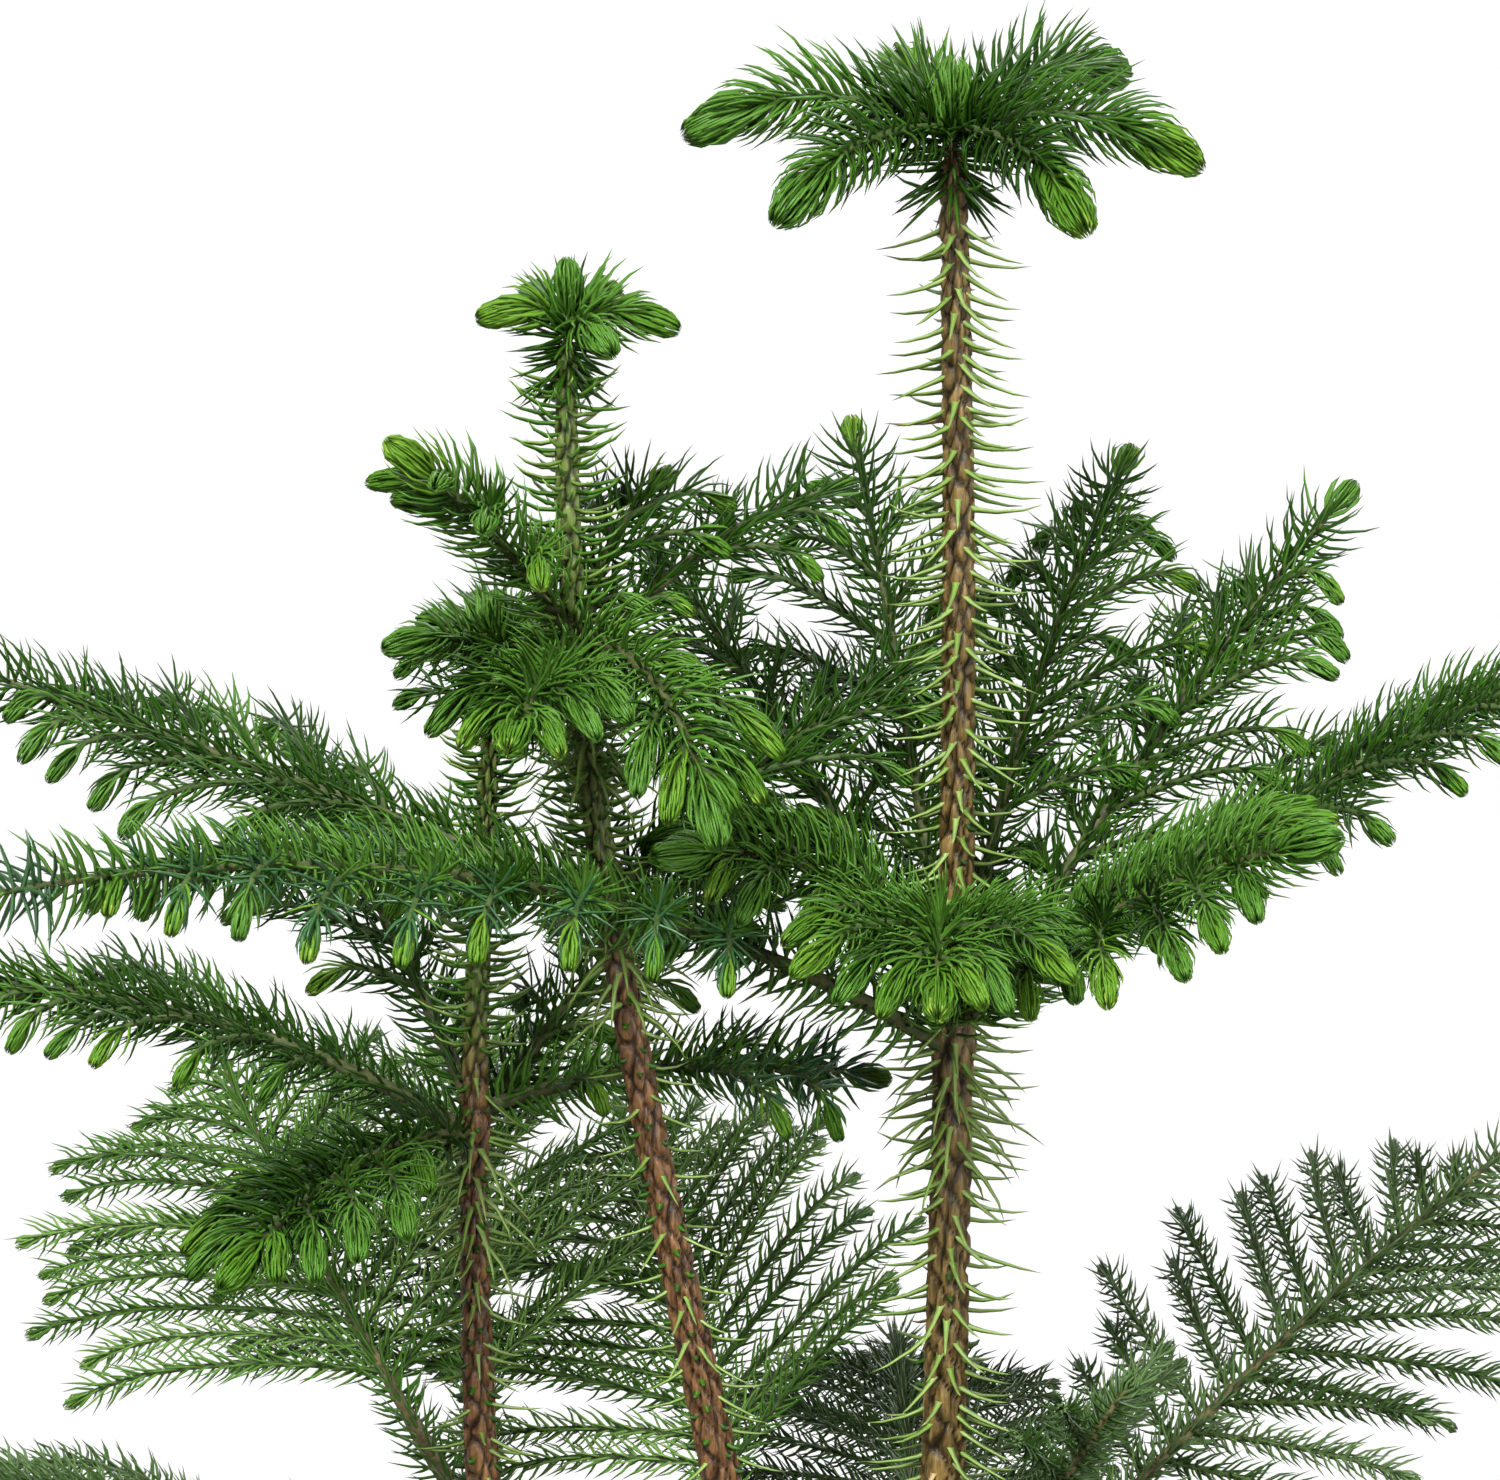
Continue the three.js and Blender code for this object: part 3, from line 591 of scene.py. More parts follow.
def dress(stem, line, style, bare, deal):
    """Set a shoot with needles in a spiral. deal names each needle's kind by its distance from the tip."""
    reach = marks_along(line)[-1]
    places = needle_places(reach, bare, style)
    count = len(places)
    centre, along, across, above = frames(line, places)
    left = reach - places
    turn = np.arange(count) * GOLDEN_ANGLE + dice.normal(0, TURN_SPREAD, count) + dice.uniform(0, ANY_TURN)
    spread = between(across, above, turn)
    girth = np.interp(places, [0, reach], style["girth"])
    base = centre + spread * (girth * ROOT_DEPTH)[:, None]
    open_bend, open_tip = open_needles(style, base, along, spread, left)
    bulb_bend, bulb_tip = bulb_needles(style, line, left, spread)
    opened = smooth((left / style["bud"] - CLOSED_BUD) / (1 - CLOSED_BUD))[:, None]
    bend = bulb_bend + (open_bend - bulb_bend) * opened
    tip = bulb_tip + (open_tip - bulb_tip) * opened
    width = style["width"] * (1 + dice.normal(0, WIDTH_SPREAD, count))
    side = np.cross(along, spread)
    add_needles(stem, deal(left), base, bend, tip, width, side, style["rings"])


def deal_in_zones(shade, zones):
    """Kinds along a shoot: one shade, and other kinds up to a blurred distance from the tip."""

    def deal(left):
        kinds = np.full(len(left), shade, dtype=KIND_TEXT)
        for kind, reach, blur in zones:
            kinds[left < reach + dice.normal(0, blur, len(left))] = kind
        return kinds

    return deal


def pick(kind, seed):
    """One of a kind's shades."""
    return f"{kind}_{1 + int(chance(seed + SEED_SHADE) * len(SHADES[kind]))}"


# The share of sprays with the commonest shade of their age, and that shade. On shaded fronds at the back the
# darkest shade is painted shade.
COMMON_SHADES = {"young": (0.45, "mature_1"), "shaded": (0.9, "mature_1"), "lush": (0.6, "mature_3"),
                 "rosette": (0.6, "mature_3")}
# The share of bright bulbs with pale tips
PALE_TIPS = 0.4
DULL_BULB = "mature_3"
# Zones of colour at the end of a shoot, as a reach and a blur. The last three reach by shares of the bud.
OLD_ENDS = (3, 1.5)
PALE_ZONE = (1.0, 0.6)
BULB_ZONE = (0.66, 1.5)
BULB_ZONE_SPREAD = 0.2
BLUE_ZONE = (1.7, 2)
CROWN_ZONE = (1.5, 3)


def deal_for(age, seed):
    """How needle kinds are dealt along one shoot of an age."""
    if age in ("old", "middle"):
        return deal_in_zones(pick(age, seed), [(f"{age}_3", *OLD_ENDS)])
    shade = pick("mature", seed)
    share, common = COMMON_SHADES.get(age, (0, shade))
    # On lush and rosette fronds the palest shade is partly painted light, lifting fronds that lie in shadow
    if chance(seed + SEED_SPRAY) < share:
        shade = common
    bud = NEEDLES[age]["bud"]
    bright = chance(seed + SEED_BULB) < TWIGS[age]["bright"]
    bulb = pick("fresh", seed + SEED_FRESH) if bright else DULL_BULB
    reach = BULB_ZONE[0] + jitter(seed + SEED_REACH, BULB_ZONE_SPREAD)
    zones = [(bulb, bud * reach, BULB_ZONE[1])]
    if bright and chance(seed + SEED_PALE) < PALE_TIPS:
        zones = [*zones, ("tip_1", *PALE_ZONE)]
    if age == "rosette":
        zones = [("blue_1", bud * BLUE_ZONE[0], BLUE_ZONE[1]), *zones]
    # On the crown the needles nearest the stem get the darkest shade, as painted shade for the crown's dark
    # centre
    if age == "crown":
        zones = [(shade, bud * CROWN_ZONE[0], CROWN_ZONE[1]), *zones]
        shade = "mature_1"
    return deal_in_zones(shade, zones)


# Where the first needles stand, as a share of an axis and as distances along twigs, shoots and buds
AXIS_BARE = FIRST_TWIG * 0.2
TWIG_BARE = 1.5
SHOOT_BARE = 2
BUD_BARE = 1


def grow_axis(stem, whorl, axis):
    """The wood of a frond's axis, its stout inner bough, and the needles that stand on both."""
    shares = np.linspace(0, 1, max(FEWEST_AXIS_STEPS, int(axis["length"] / AXIS_STEP)))
    line = curve(axis["controls"], shares)
    radii = np.interp(shares, (0, 1), AXIS_RADII)
    bare = whorl["bare"]
    if bare:
        stout = np.interp(shares, (0, bare), BOUGH_RADII)
        radii = np.where(shares < bare, stout, radii)
    name = f"{stem['name']}_boughs" if bare else f"{stem['name']}_axes"
    tube(name, line, radii, AXIS_SIDES, rough=AXIS_ROUGHNESS)
    style = scaled(NEEDLES[axis["age"]], **AXIS_NEEDLES)
    dress(stem, line, style, AXIS_BARE * axis["length"], deal_for(axis["age"], axis["seed"]))


def grow_frond(stem, whorl, axis):
    """The twigs of a frond in their clear space, each with its needles."""
    first = max(FIRST_TWIG, whorl["bare"] + PAST_BOUGH)
    count = max(FEWEST_TWIGS, round(axis["length"] * (LAST_TWIG - first) / TWIGS[axis["age"]]["pitch"]))
    for i in range(count):
        for side in (1, -1):
            share = (i + (TWIG_STAGGER if side < 0 else 0)) / count
            at = first + (LAST_TWIG - first) * share
            seed = axis["seed"] + i * TWIG_SEED + side * SIDE_SEED
            twig = twig_of(whorl, axis, at, share, side, seed)
            grow_twig(stem, twig, axis["age"], seed, axis["seed"])


def grow_twig(stem, twig, age, seed, owner):
    """A twig with its needles. Near another limb it is shortened once, and then left out."""
    for length in (twig["length"], twig["length"] * SHORTENED):
        if length < SHORTEST_TWIG:
            continue
        line = twig_line(twig, length, age, seed)
        outer = line[CLEAR_STEPS:]
        if not space.clear(outer, TWIG_SPACE, owner):
            continue
        space.take(outer, TWIG_SPACE, owner)
        wood = line[::2]
        tube(f"{stem['name']}_twigs", wood, np.linspace(*NEEDLES[age]["girth"], len(wood)), TWIG_SIDES)
        dress(stem, line, NEEDLES[age], TWIG_BARE, deal_for(age, seed))
        return


SHOOT_RADII = (1.0, 0.7)
SHOOT_BEND = 0.55
SHOOT_TIP = 0.45
NECK_SHARE = 0.5
BUD_NEEDLES = 0.75
# Zones of colour on the upright bud, as a kind, a share of the bud and a blur
BUD_ZONES = (("mature_2", 1, 2), ("mature_3", 0.35, 1.5))


def grow_crown(stem):
    """A ring of stout shoots that curve over, round an upright bud."""
    foot = stem_points(stem, np.array([stem["top"]]))[0] + UP * GAP
    start = foot + UP * NECK_HEIGHT * NECK_SHARE
    size, bulb = stem["crown"]
    style = scaled(NEEDLES["crown"], length=size, bud=bulb, bulb=bulb)
    past = TWIGS["crown"]["past"]
    radii = np.linspace(*SHOOT_RADII, LINE_STEPS)
    for index, (bearing, length, rise, tip_rise) in enumerate(stem["shoots"]):
        length = length - past
        bend = start + heading(bearing, rise) * length * SHOOT_BEND
        tip = bend + heading(bearing, tip_rise) * length * SHOOT_TIP
        line = curve([start, bend, tip], np.linspace(0, 1, LINE_STEPS))
        tube(f"{stem['name']}_twigs", line, radii, SHOOT_SIDES)
        dress(stem, line, style, SHOOT_BARE, deal_for("crown", index * SHOOT_SEED + stem["top"]))
    bud = np.linspace(foot, foot + UP * (BUD_HEIGHT - past), LINE_STEPS)
    tube(f"{stem['name']}_twigs", bud, radii, SHOOT_SIDES)
    zones = [(kind, style["bud"] * share, blur) for kind, share, blur in BUD_ZONES]
    dress(stem, bud, scaled(style, length=BUD_NEEDLES), BUD_BARE, deal_in_zones("mature_1", zones))
    grow_collar(stem, size)


def spiral(count, start=0.0):
    """The turns of points in a spiral, and their shares of its height."""
    numbers = np.arange(count)
    return numbers * GOLDEN_ANGLE + start, (numbers + 0.5) / count


def grow_round(stem, style, heights, turn, girth, lift=0.0, dry=None):
    """Needles that stand out round a stem of this girth. lift adds to their rise, dry is the dried share."""
    count = len(heights)
    rise = np.radians(lift + dice.normal(*style["rise"], count))
    end = rise + np.radians(dice.normal(*style["curl"], count))
    length = style["length"] * (1 + dice.normal(0, style["loose"], count))
    share, kind, other = style["kinds"]
    kinds = np.where(dice.uniform(size=count) < share, kind, other).astype(KIND_TEXT)
    if dry is not None:
        kinds[dice.uniform(size=count) < dry] = "dry_1"
    centre = stem_points(stem, heights)
    centre[:, 2] = heights
    spread = between(EAST, NORTH, turn)
    base = centre + spread * (girth - style["sunk"])[:, None]
    bend, tip = bent(base, between(spread, UP, rise), between(spread, UP, end), length)
    width = np.full(count, style["width"])
    add_needles(stem, kinds, base, bend, tip, width, between(NORTH, -EAST, turn), style["rings"])


COLLAR_NEEDLES = 84
COLLAR_DEPTH = 8
COLLAR_PAST = 5
COLLAR_LIFT = 66


def grow_collar(stem, size):
    """Needles that hide the top of the stem under its crown."""
    turn, share = spiral(COLLAR_NEEDLES)
    heights = stem["top"] - COLLAR_DEPTH * size + (COLLAR_DEPTH * size + COLLAR_PAST) * share
    girth = np.full(COLLAR_NEEDLES, stem["tip_radius"])
    style = scaled(ROUND_NEEDLES["collar"], length=size)
    grow_round(stem, style, heights, turn, girth, lift=COLLAR_LIFT * share)


# The spiral of leaf cushions on a stem, and how far it is out of true: shifted upward, and turned by waves,
# each with a size, a height and a number round the stem
CUSHION_RISE = 0.77
CUSHION_SHIFT = 0.6
CUSHION_WAVES = ((0.22, 17, 2), (0.15, 7.3, -3))


def cushion_height(number):
    """The height of a leaf cushion on its stem, by its number in the spiral."""
    return number * CUSHION_RISE - CUSHION_SHIFT * np.sin(number * SCATTER)


def cushion_warp(turn, heights):
    """How far the spiral of leaf cushions is turned out of true."""
    return sum(size * np.sin(heights / wave + times * turn) for size, wave, times in CUSHION_WAVES)


# Where stem needles begin and end, the share of them that stays and the share that dries, each by height
SPINES_FROM = 0.12
SPINES_END = 4
SPINES_STAY = ([SPINES_FROM, 0.4, 1], [0.2, 0.85, 1])
SPINES_DRY = ([0.2, 0.55], [0.12, 0.01])
SPINE_SPREAD = 0.06


def grow_stem_needles(stem):
    """Pale needles on the stem's leaf cushions, fewer towards its foot, and stumps of the fallen ones."""
    first = int(stem["top"] * SPINES_FROM / CUSHION_RISE)
    last = int((stem["top"] * stem["green_from"] - SPINES_END) / CUSHION_RISE)
    number = np.arange(first, last)
    heights = cushion_height(number)
    turn = number * GOLDEN_ANGLE
    turn = turn - cushion_warp(turn, heights) + dice.normal(0, SPINE_SPREAD, len(heights))
    stays = np.interp(heights / stem["top"], *SPINES_STAY) * stem["spines"]
    keep = dice.uniform(size=len(heights)) < stays
    girth = bark_radius(stem, heights)
    grow_round(stem, ROUND_NEEDLES["stump"], heights[~keep], turn[~keep], girth[~keep])
    slim = (1 + stem["spines"]) / 2
    style = scaled(ROUND_NEEDLES["stem"], length=slim, width=slim)
    dry = np.interp(heights[keep] / stem["top"], *SPINES_DRY)
    grow_round(stem, style, heights[keep], turn[keep], girth[keep], dry=dry)


SKIRT_NEEDLES = 34
SKIRT_HEIGHT = 26
SKIRT_TURN = 0.9
SKIRT_DROP = 1


def grow_skirt(stem, whorl):
    """Long needles that hang down round the stem under a whorl."""
    turn, share = spiral(SKIRT_NEEDLES, SKIRT_TURN)
    heights = whorl["height"] - SKIRT_DROP - SKIRT_HEIGHT * (1 - share)
    grow_round(stem, ROUND_NEEDLES["skirt"], heights, turn, bark_radius(stem, heights))


GREEN_RISE = 0.4
GREEN_TURN = 0.4
GREEN_END = 6


def grow_green_needles(stem):
    """The denser needles on the green top of a stem, which point upward."""
    heights = np.arange(stem["top"] * stem["green_from"], stem["top"] - GREEN_END, GREEN_RISE)
    turn, _ = spiral(len(heights), GREEN_TURN)
    grow_round(stem, ROUND_NEEDLES["green"], heights, turn, bark_radius(stem, heights))


def plan_fronds():
    """Each frond's stem, whorl and axis, once the space of all stems and axes is taken."""
    plan = []
    for number, stem in enumerate(STEMS):
        heights = np.linspace(0, stem["top"], STEM_BALLS)
        space.take(stem_points(stem, heights), stem["root_radius"], -1 - number)
        for tier, whorl in enumerate(stem["whorls"]):
            for index in range(len(whorl["fronds"])):
                seed = number * STEM_SEED + tier * WHORL_SEED + index + 1
                axis = frond_axis(stem, whorl, index, seed)
                line = curve(axis["controls"], np.linspace(FIRST_TWIG, 1, AXIS_BALLS))
                space.take(line, AXIS_SPACE, seed)
                plan.append((stem, whorl, axis))
    return plan


def grow_plant():
    """Grow all fronds, then each stem's crown and needles."""
    place_feet()
    for stem, whorl, axis in plan_fronds():
        grow_axis(stem, whorl, axis)
        grow_frond(stem, whorl, axis)
    for stem in STEMS:
        grow_crown(stem)
        grow_stem_needles(stem)
        grow_green_needles(stem)
        for whorl in stem["whorls"]:
            grow_skirt(stem, whorl)


# The mesh of the bark, the size of its leaf cushions, and the depths of its relief
BARK_SIDES = 44
BARK_STEP = 0.9
CUSHION_HALF_WIDTH = 1.7
CUSHION_HALF_HEIGHT = 5.2
NEAR_CUSHIONS = 16
FAR_AWAY = 9.0
CLEFT_WIDTH = 0.42
CLEFT_DEPTH = 0.9
BULGE = 0.45
GRAIN = 0.07
# Waves of the grain, as a number round the stem and radians for each millimetre of height
GRAIN_WAVES = ((13, 0.31), (5, 1.7))
# How a stem closes at its top, the share of its height over which it turns green, and its marks. The ridge
# mark sets where the crevices get painted shade.
CLOSING_HEIGHT = 3
CLOSING = 0.4
FLUSH_OVER = 0.08
RIDGE_MARK = "bark_ridge"
FLUSH_MARK = "bark_flush"


def cushion_field(turn, heights, radius):
    """Distance to the nearest leaf cushion, and how far the second nearest is beyond it."""
    warped = turn + cushion_warp(turn, heights)
    number = np.floor(heights / CUSHION_RISE)
    nearest = np.full(heights.shape, FAR_AWAY)
    second = np.full(heights.shape, FAR_AWAY)
    for offset in range(-NEAR_CUSHIONS, NEAR_CUSHIONS + 1):
        one = number + offset
        around = np.angle(np.exp(1j * (warped - one * GOLDEN_ANGLE))) * radius / CUSHION_HALF_WIDTH
        upward = (heights - cushion_height(one)) / CUSHION_HALF_HEIGHT
        apart = np.hypot(around, upward)
        second = np.minimum(second, np.maximum(nearest, apart))
        nearest = np.minimum(nearest, apart)
    return nearest, second - nearest


def make_bark(stem):
    """Gather a stem with its leaf cushions and crevices, and return its name and marks."""
    top = stem["top"]
    rows = int(top / BARK_STEP)
    heights = np.linspace(0, top, rows)
    turns = np.arange(BARK_SIDES) * 2 * math.pi / BARK_SIDES
    height, turn = np.meshgrid(heights, turns, indexing="ij")
    radius = bark_radius(stem, height)
    nearest, crevice = cushion_field(turn, height, radius)
    ridge = smooth(crevice / CLEFT_WIDTH)
    bulge = 1 - np.clip(nearest, 0, 1) ** 2
    grain = math.prod(np.sin(turn * times + height * wave) for times, wave in GRAIN_WAVES)
    radius = radius + BULGE * bulge - CLEFT_DEPTH * (1 - ridge) + GRAIN * grain
    radius = radius * (1 - CLOSING * smooth((height - top + CLOSING_HEIGHT) / CLOSING_HEIGHT))
    centre = stem_points(stem, heights)[:, None]
    points = (centre + between(EAST, NORTH, turn) * radius[..., None]).reshape(-1, 3)
    points = np.vstack([points, centre[-1] + UP * NECK_HEIGHT * NECK_SHARE])
    name = f"{stem['name']}_bark"
    gather(name, points, tube_faces(rows, BARK_SIDES))
    flush = smooth((height / top - stem["flush_from"]) / FLUSH_OVER)
    return name, {RIDGE_MARK: ridge, FLUSH_MARK: flush}


# Skins of bark and green wood. stretch is how fine they are mottled along each axis, steps are where their
# dark and light colours begin, and bump is a strength and a depth in metres.
SKINS = table("stretch detail grit steps bump roughness gloss", {
    "bark": ((900, 900, 160), 6, 0.65, (0.34, 0.7), (0.8, 0.0005), 0.33, 0.18),
    "wood": ((420, 420, 420), 5, 0.5, (0.35, 0.68), (0.4, 0.0003), 0.65, 0.15),
})
BARK_FLUSH = (0.062, 0.086, 0.018)
# How dark the painted shade in the bark's crevices is, as a share of the dark bark colour
PAINTED_CREVICE_SHADE = 0.2

# Sockets of a colour mix
MIX_FACTOR = 0
MIX_FIRST = 6
MIX_SECOND = 7
MIX_RESULT = 2


def principled(name):
    material = bpy.data.materials.new(name)
    material.use_nodes = True
    return material, material.node_tree, material.node_tree.nodes["Principled BSDF"]


def preset(node, values):
    """Set the values of a node's sockets."""
    for name, value in values.items():
        node.inputs[name].default_value = value


def plain_material(name, colour, roughness, gloss):
    material, _, shader = principled(name)
    preset(shader, {"Base Color": (*colour, 1), "Roughness": roughness, "Specular IOR Level": gloss})
    return material


def mottle(tree, shader, skin, dark, light):
    """Give a shader the bumps and the gloss of a skin, and return the socket of its mottled colour."""
    nodes, links = tree.nodes, tree.links
    coords = nodes.new("ShaderNodeTexCoord")
    stretch = nodes.new("ShaderNodeMapping")
    preset(stretch, {"Scale": skin["stretch"]})
    links.new(coords.outputs["Object"], stretch.inputs["Vector"])
    noise = nodes.new("ShaderNodeTexNoise")
    preset(noise, {"Scale": 1, "Detail": skin["detail"], "Roughness": skin["grit"]})
    links.new(stretch.outputs["Vector"], noise.inputs["Vector"])
    ramp = nodes.new("ShaderNodeValToRGB")
    for element, place, colour in zip(ramp.color_ramp.elements, skin["steps"], (dark, light)):
        element.position = place
        element.color = (*colour, 1)
    links.new(noise.outputs["Fac"], ramp.inputs["Fac"])
    bump = nodes.new("ShaderNodeBump")
    preset(bump, {"Strength": skin["bump"][0], "Distance": skin["bump"][1]})
    links.new(noise.outputs["Fac"], bump.inputs["Height"])
    links.new(bump.outputs["Normal"], shader.inputs["Normal"])
    preset(shader, {"Roughness": skin["roughness"], "Specular IOR Level": skin["gloss"]})
    return ramp.outputs["Color"]


def bark_material(name, dark, light):
    """Brown bark with crevices darkened as painted shade, paler flecks, and a green flush where the mesh is
    marked young.
    """
    material, tree, shader = principled(name)
    flecks = mottle(tree, shader, SKINS["bark"], dark, light)
    flush = mix_colour(tree, mark_socket(tree, FLUSH_MARK), flecks, (*BARK_FLUSH, 1))
    # Painted shade: where the ridge mark falls to 0 in the crevices, the colour is darkened
    crevice = tuple(PAINTED_CREVICE_SHADE * value for value in dark)
    colour = mix_colour(tree, mark_socket(tree, RIDGE_MARK), (*crevice, 1), flush)
    tree.links.new(colour, shader.inputs["Base Color"])
    return material


def mark_socket(tree, mark):
    """The socket of a mark on the mesh."""
    node = tree.nodes.new("ShaderNodeAttribute")
    node.attribute_name = mark
    return node.outputs["Fac"]


def mix_colour(tree, factor, first, second):
    """The socket of a colour mixed between two, each a colour or a socket."""
    mix = tree.nodes.new("ShaderNodeMix")
    mix.data_type = "RGBA"
    tree.links.new(factor, mix.inputs[MIX_FACTOR])
    for socket, value in ((mix.inputs[MIX_FIRST], first), (mix.inputs[MIX_SECOND], second)):
        if isinstance(value, tuple):
            socket.default_value = value
        else:
            tree.links.new(value, socket)
    return mix.outputs[MIX_RESULT]


def wood_material(name, dark, light):
    """Mottled green and brown skin for axes, boughs and twigs."""
    material, tree, shader = principled(name)
    colour = mottle(tree, shader, SKINS["wood"], dark, light)
    tree.links.new(colour, shader.inputs["Base Color"])
    return material


def add_object(name, data):
    thing = bpy.data.objects.new(name, data)
    bpy.context.scene.collection.objects.link(thing)
    return thing


def make_mesh(name):
    """The smooth mesh of what was gathered under a name, with nothing below the ground."""
    points = np.vstack([part for part, _ in gathered[name]]) * MM
    points[:, 2] = np.maximum(points[:, 2], 0)
    starts = np.cumsum([0] + [len(part) for part, _ in gathered[name]])
    faces = np.vstack([part + start for (_, part), start in zip(gathered[name], starts)]).astype(np.int32)
    mesh = bpy.data.meshes.new(name)
    mesh.vertices.add(len(points))
    mesh.vertices.foreach_set("co", points.ravel())
    mesh.loops.add(faces.size)
    mesh.loops.foreach_set("vertex_index", faces.ravel())
    mesh.polygons.add(len(faces))
    mesh.polygons.foreach_set("loop_start", np.arange(0, faces.size, 3, dtype=np.int32))
    mesh.polygons.foreach_set("use_smooth", np.ones(len(faces), bool))
    mesh.update(calc_edges=True)
    return mesh


def make_piece(name, material, replaced=()):
    """One object of what was gathered under a name, riding on the plant."""
    mesh = make_mesh(name)
    mesh.materials.append(material)
    piece = add_object(name, mesh)
    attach(piece, "root")
    if replaced:
        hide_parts(*replaced)
    return piece


def frond_nodes(stem, whorls, kind):
    """The names of nodes of one kind, one for each frond of these whorls."""
    return [f"{stem['name']}_{whorl['name']}_{kind}_{index + 1}"
            for whorl in whorls for index in range(len(whorl["fronds"]))]


def mark_bark(piece, marks):
    """Put marks on a bark's mesh, the last value again for the point that closes it."""
    for mark, values in marks.items():
        layer = piece.data.attributes.new(mark, "FLOAT", "POINT")
        layer.data.foreach_set("value", np.append(values, values[-1, -1]).astype(np.float32))


def make_wood():
    """The bark, boughs, axes and twigs of each stem, which stand for all the solids."""
    axis_skin = wood_material("axis_skin", (0.015, 0.021, 0.006), (0.046, 0.05, 0.016))
    bough_skin = wood_material("bough_skin", (0.026, 0.02, 0.008), (0.084, 0.067, 0.029))
    twig_skin = wood_material("twig_skin", (0.012, 0.024, 0.005), (0.032, 0.05, 0.012))
    for stem in STEMS:
        name, marks = make_bark(stem)
        skin = bark_material(f"{stem['name']}_bark_skin", *stem["bark"])
        bark = make_piece(name, skin, [f"{stem['name']}_stem"])
        mark_bark(bark, marks)
        bare = [whorl for whorl in stem["whorls"] if whorl["bare"]]
        make_piece(f"{stem['name']}_boughs", bough_skin, frond_nodes(stem, bare, "bough"))
        make_piece(f"{stem['name']}_axes", axis_skin)
        nodes = frond_nodes(stem, stem["whorls"], "frond") + [f"{stem['name']}_crown"]
        make_piece(f"{stem['name']}_twigs", twig_skin, nodes)


# How needles shine, and the kinds that have values of their own
NEEDLE_ROUGHNESS = 0.34
NEEDLE_GLOSS = 0.08
KIND_ROUGHNESS = {"fresh": 0.45, "tip": 0.5, "dry": 0.6}
KIND_GLOSS = {"blue": 0.14, "stem": 0.14}


def make_needles():
    """The needles of each stem, one piece for each shade."""
    for kind, shades in SHADES.items():
        roughness = KIND_ROUGHNESS.get(kind, NEEDLE_ROUGHNESS)
        gloss = KIND_GLOSS.get(kind, NEEDLE_GLOSS)
        for number, colour in enumerate(shades, 1):
            skin = plain_material(f"{kind}_{number}", colour, roughness, gloss)
            for stem in STEMS:
                name = f"{stem['name']}_needles_{kind}_{number}"
                if name in gathered:
                    make_piece(name, skin)


FLOOR_SIZE = 60.0
FLOOR_COLOUR = (0.255, 0.255, 0.255)
FLOOR_ROUGHNESS = 0.9
FLOOR_GLOSS = 0.1


def make_floor():
    half = FLOOR_SIZE / 2
    mesh = bpy.data.meshes.new("floor")
    corners = [(-half, -half, 0), (half, -half, 0), (half, half, 0), (-half, half, 0)]
    mesh.from_pydata(corners, [], [(0, 1, 2, 3)])
    mesh.materials.append(plain_material("floor_white", FLOOR_COLOUR, FLOOR_ROUGHNESS, FLOOR_GLOSS))
    floor = add_object("floor", mesh)


# Broad lamps far away, as bearing, rise, width and strength
KEY = (252, 45, 24, 13.0)
RIM = (75, 40, 40, 3.4)

# A smaller lamp near the plant, in metres and watts
FILL_PLACE = (0.9, -1.5, 0.7)
FILL_AIM = (-0.04, 0, 0.32)
FILL_SIZE = 0.5
FILL_POWER = 40


def look_along(direction):
    """The turn that points a lamp or camera along a direction."""
    tilt = math.acos(np.clip(-direction[2], -1, 1))
    turn = math.atan2(direction[1], direction[0]) - math.pi / 2
    return (tilt, 0, turn)


def place_light(name, data, direction, place=(0, 0, 0)):
    """A lamp that shines along a direction."""
    light = add_object(name, data)
    light.location = place
    light.rotation_euler = look_along(direction)


def make_far_light(name, lamp):
    """A broad soft lamp that lights the floor evenly."""
    bearing, rise, width, strength = lamp
    data = bpy.data.lights.new(name, "SUN")
    data.angle = math.radians(width)
    data.energy = strength
    place_light(name, data, -heading(bearing, rise))


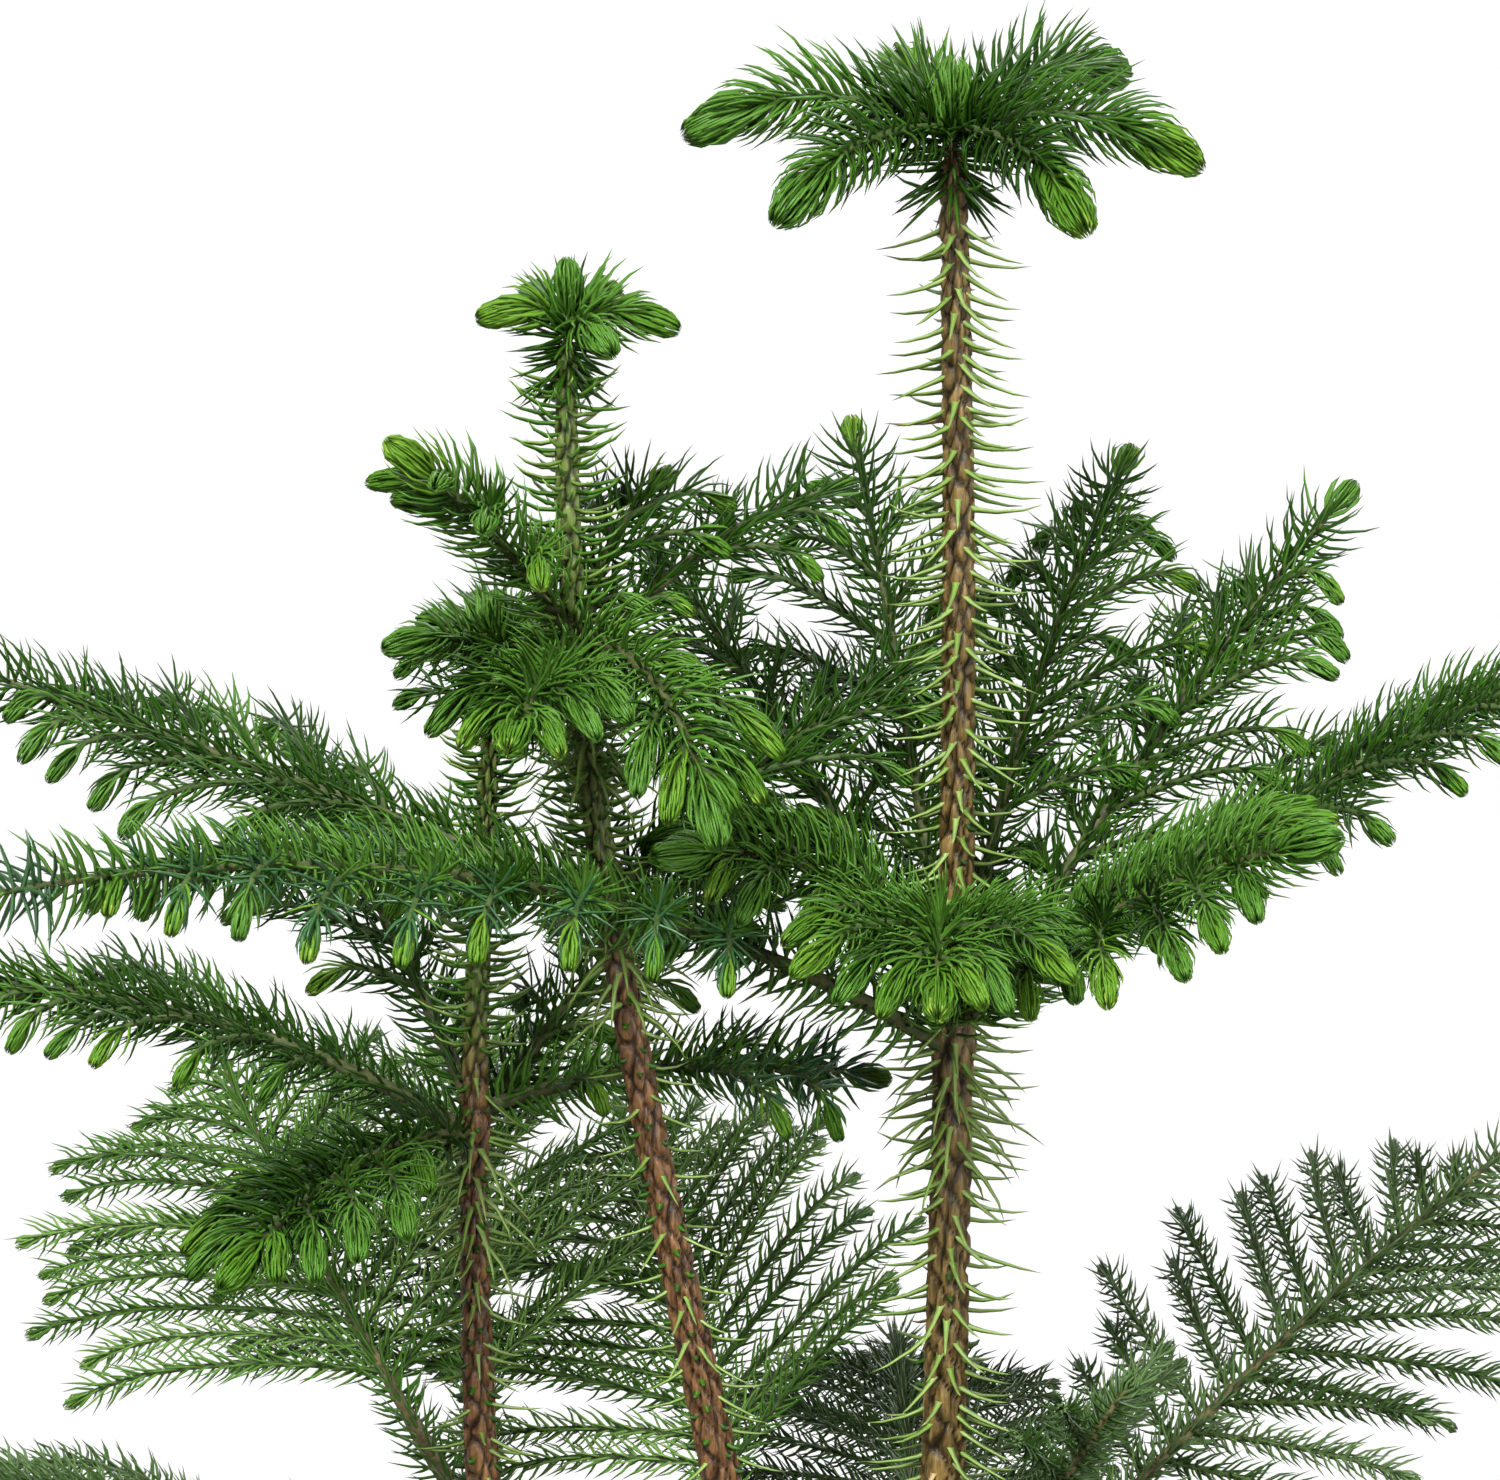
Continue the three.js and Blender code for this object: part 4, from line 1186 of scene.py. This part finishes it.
def make_fill():
    """A soft lamp on the right in front of the plant."""
    data = bpy.data.lights.new("fill", "AREA")
    data.shape = "SQUARE"
    data.size = FILL_SIZE
    data.energy = FILL_POWER
    direction = unit(np.array(FILL_AIM, float) - np.array(FILL_PLACE, float))
    place_light("fill", data, direction, FILL_PLACE)


SKY_SIDES = 0.15
SKY_TOP = 0.28


def make_sky():
    """A soft white sky that is brightest overhead."""
    world = bpy.data.worlds.new("studio")
    world.use_nodes = True
    nodes, links = world.node_tree.nodes, world.node_tree.links
    coords = nodes.new("ShaderNodeTexCoord")
    parts = nodes.new("ShaderNodeSeparateXYZ")
    links.new(coords.outputs["Generated"], parts.inputs["Vector"])
    square = nodes.new("ShaderNodeMath")
    square.operation = "MULTIPLY"
    for socket in square.inputs[:2]:
        links.new(parts.outputs["Z"], socket)
    level = nodes.new("ShaderNodeMath")
    level.operation = "MULTIPLY_ADD"
    preset(level, {1: SKY_TOP, 2: SKY_SIDES})
    links.new(square.outputs["Value"], level.inputs[0])
    preset(nodes["Background"], {"Color": (1, 1, 1, 1)})
    links.new(level.outputs["Value"], nodes["Background"].inputs["Strength"])
    return world


def make_studio():
    scene = bpy.context.scene
    scene.view_settings.view_transform = "Standard"
    scene.world = make_sky()
    make_far_light("key", KEY)
    make_far_light("rim", RIM)
    make_fill()


CAMERA_BEARING = 90
CAMERA_RISE = 11
CAMERA_AWAY = 1.0
CAMERA_AIM = (-0.039, 0.0, 0.38)
CAMERA_LENS = 120
CAMERA_SENSOR = 36
CAMERA_NEAR = 0.01
CAMERA_FAR = 200


def make_camera():
    """The camera at the photo's angle."""
    data = bpy.data.cameras.new("camera")
    data.lens = CAMERA_LENS
    data.sensor_width = CAMERA_SENSOR
    data.sensor_fit = "HORIZONTAL"
    data.clip_start = CAMERA_NEAR
    data.clip_end = CAMERA_FAR
    camera = add_object("camera", data)
    sight = heading(CAMERA_BEARING, -CAMERA_RISE)
    camera.location = np.array(CAMERA_AIM) - sight * CAMERA_AWAY
    camera.rotation_euler = look_along(sight)
    bpy.context.scene.camera = camera


grow_plant()
make_wood()
make_needles()
make_floor()
make_studio()
make_camera()
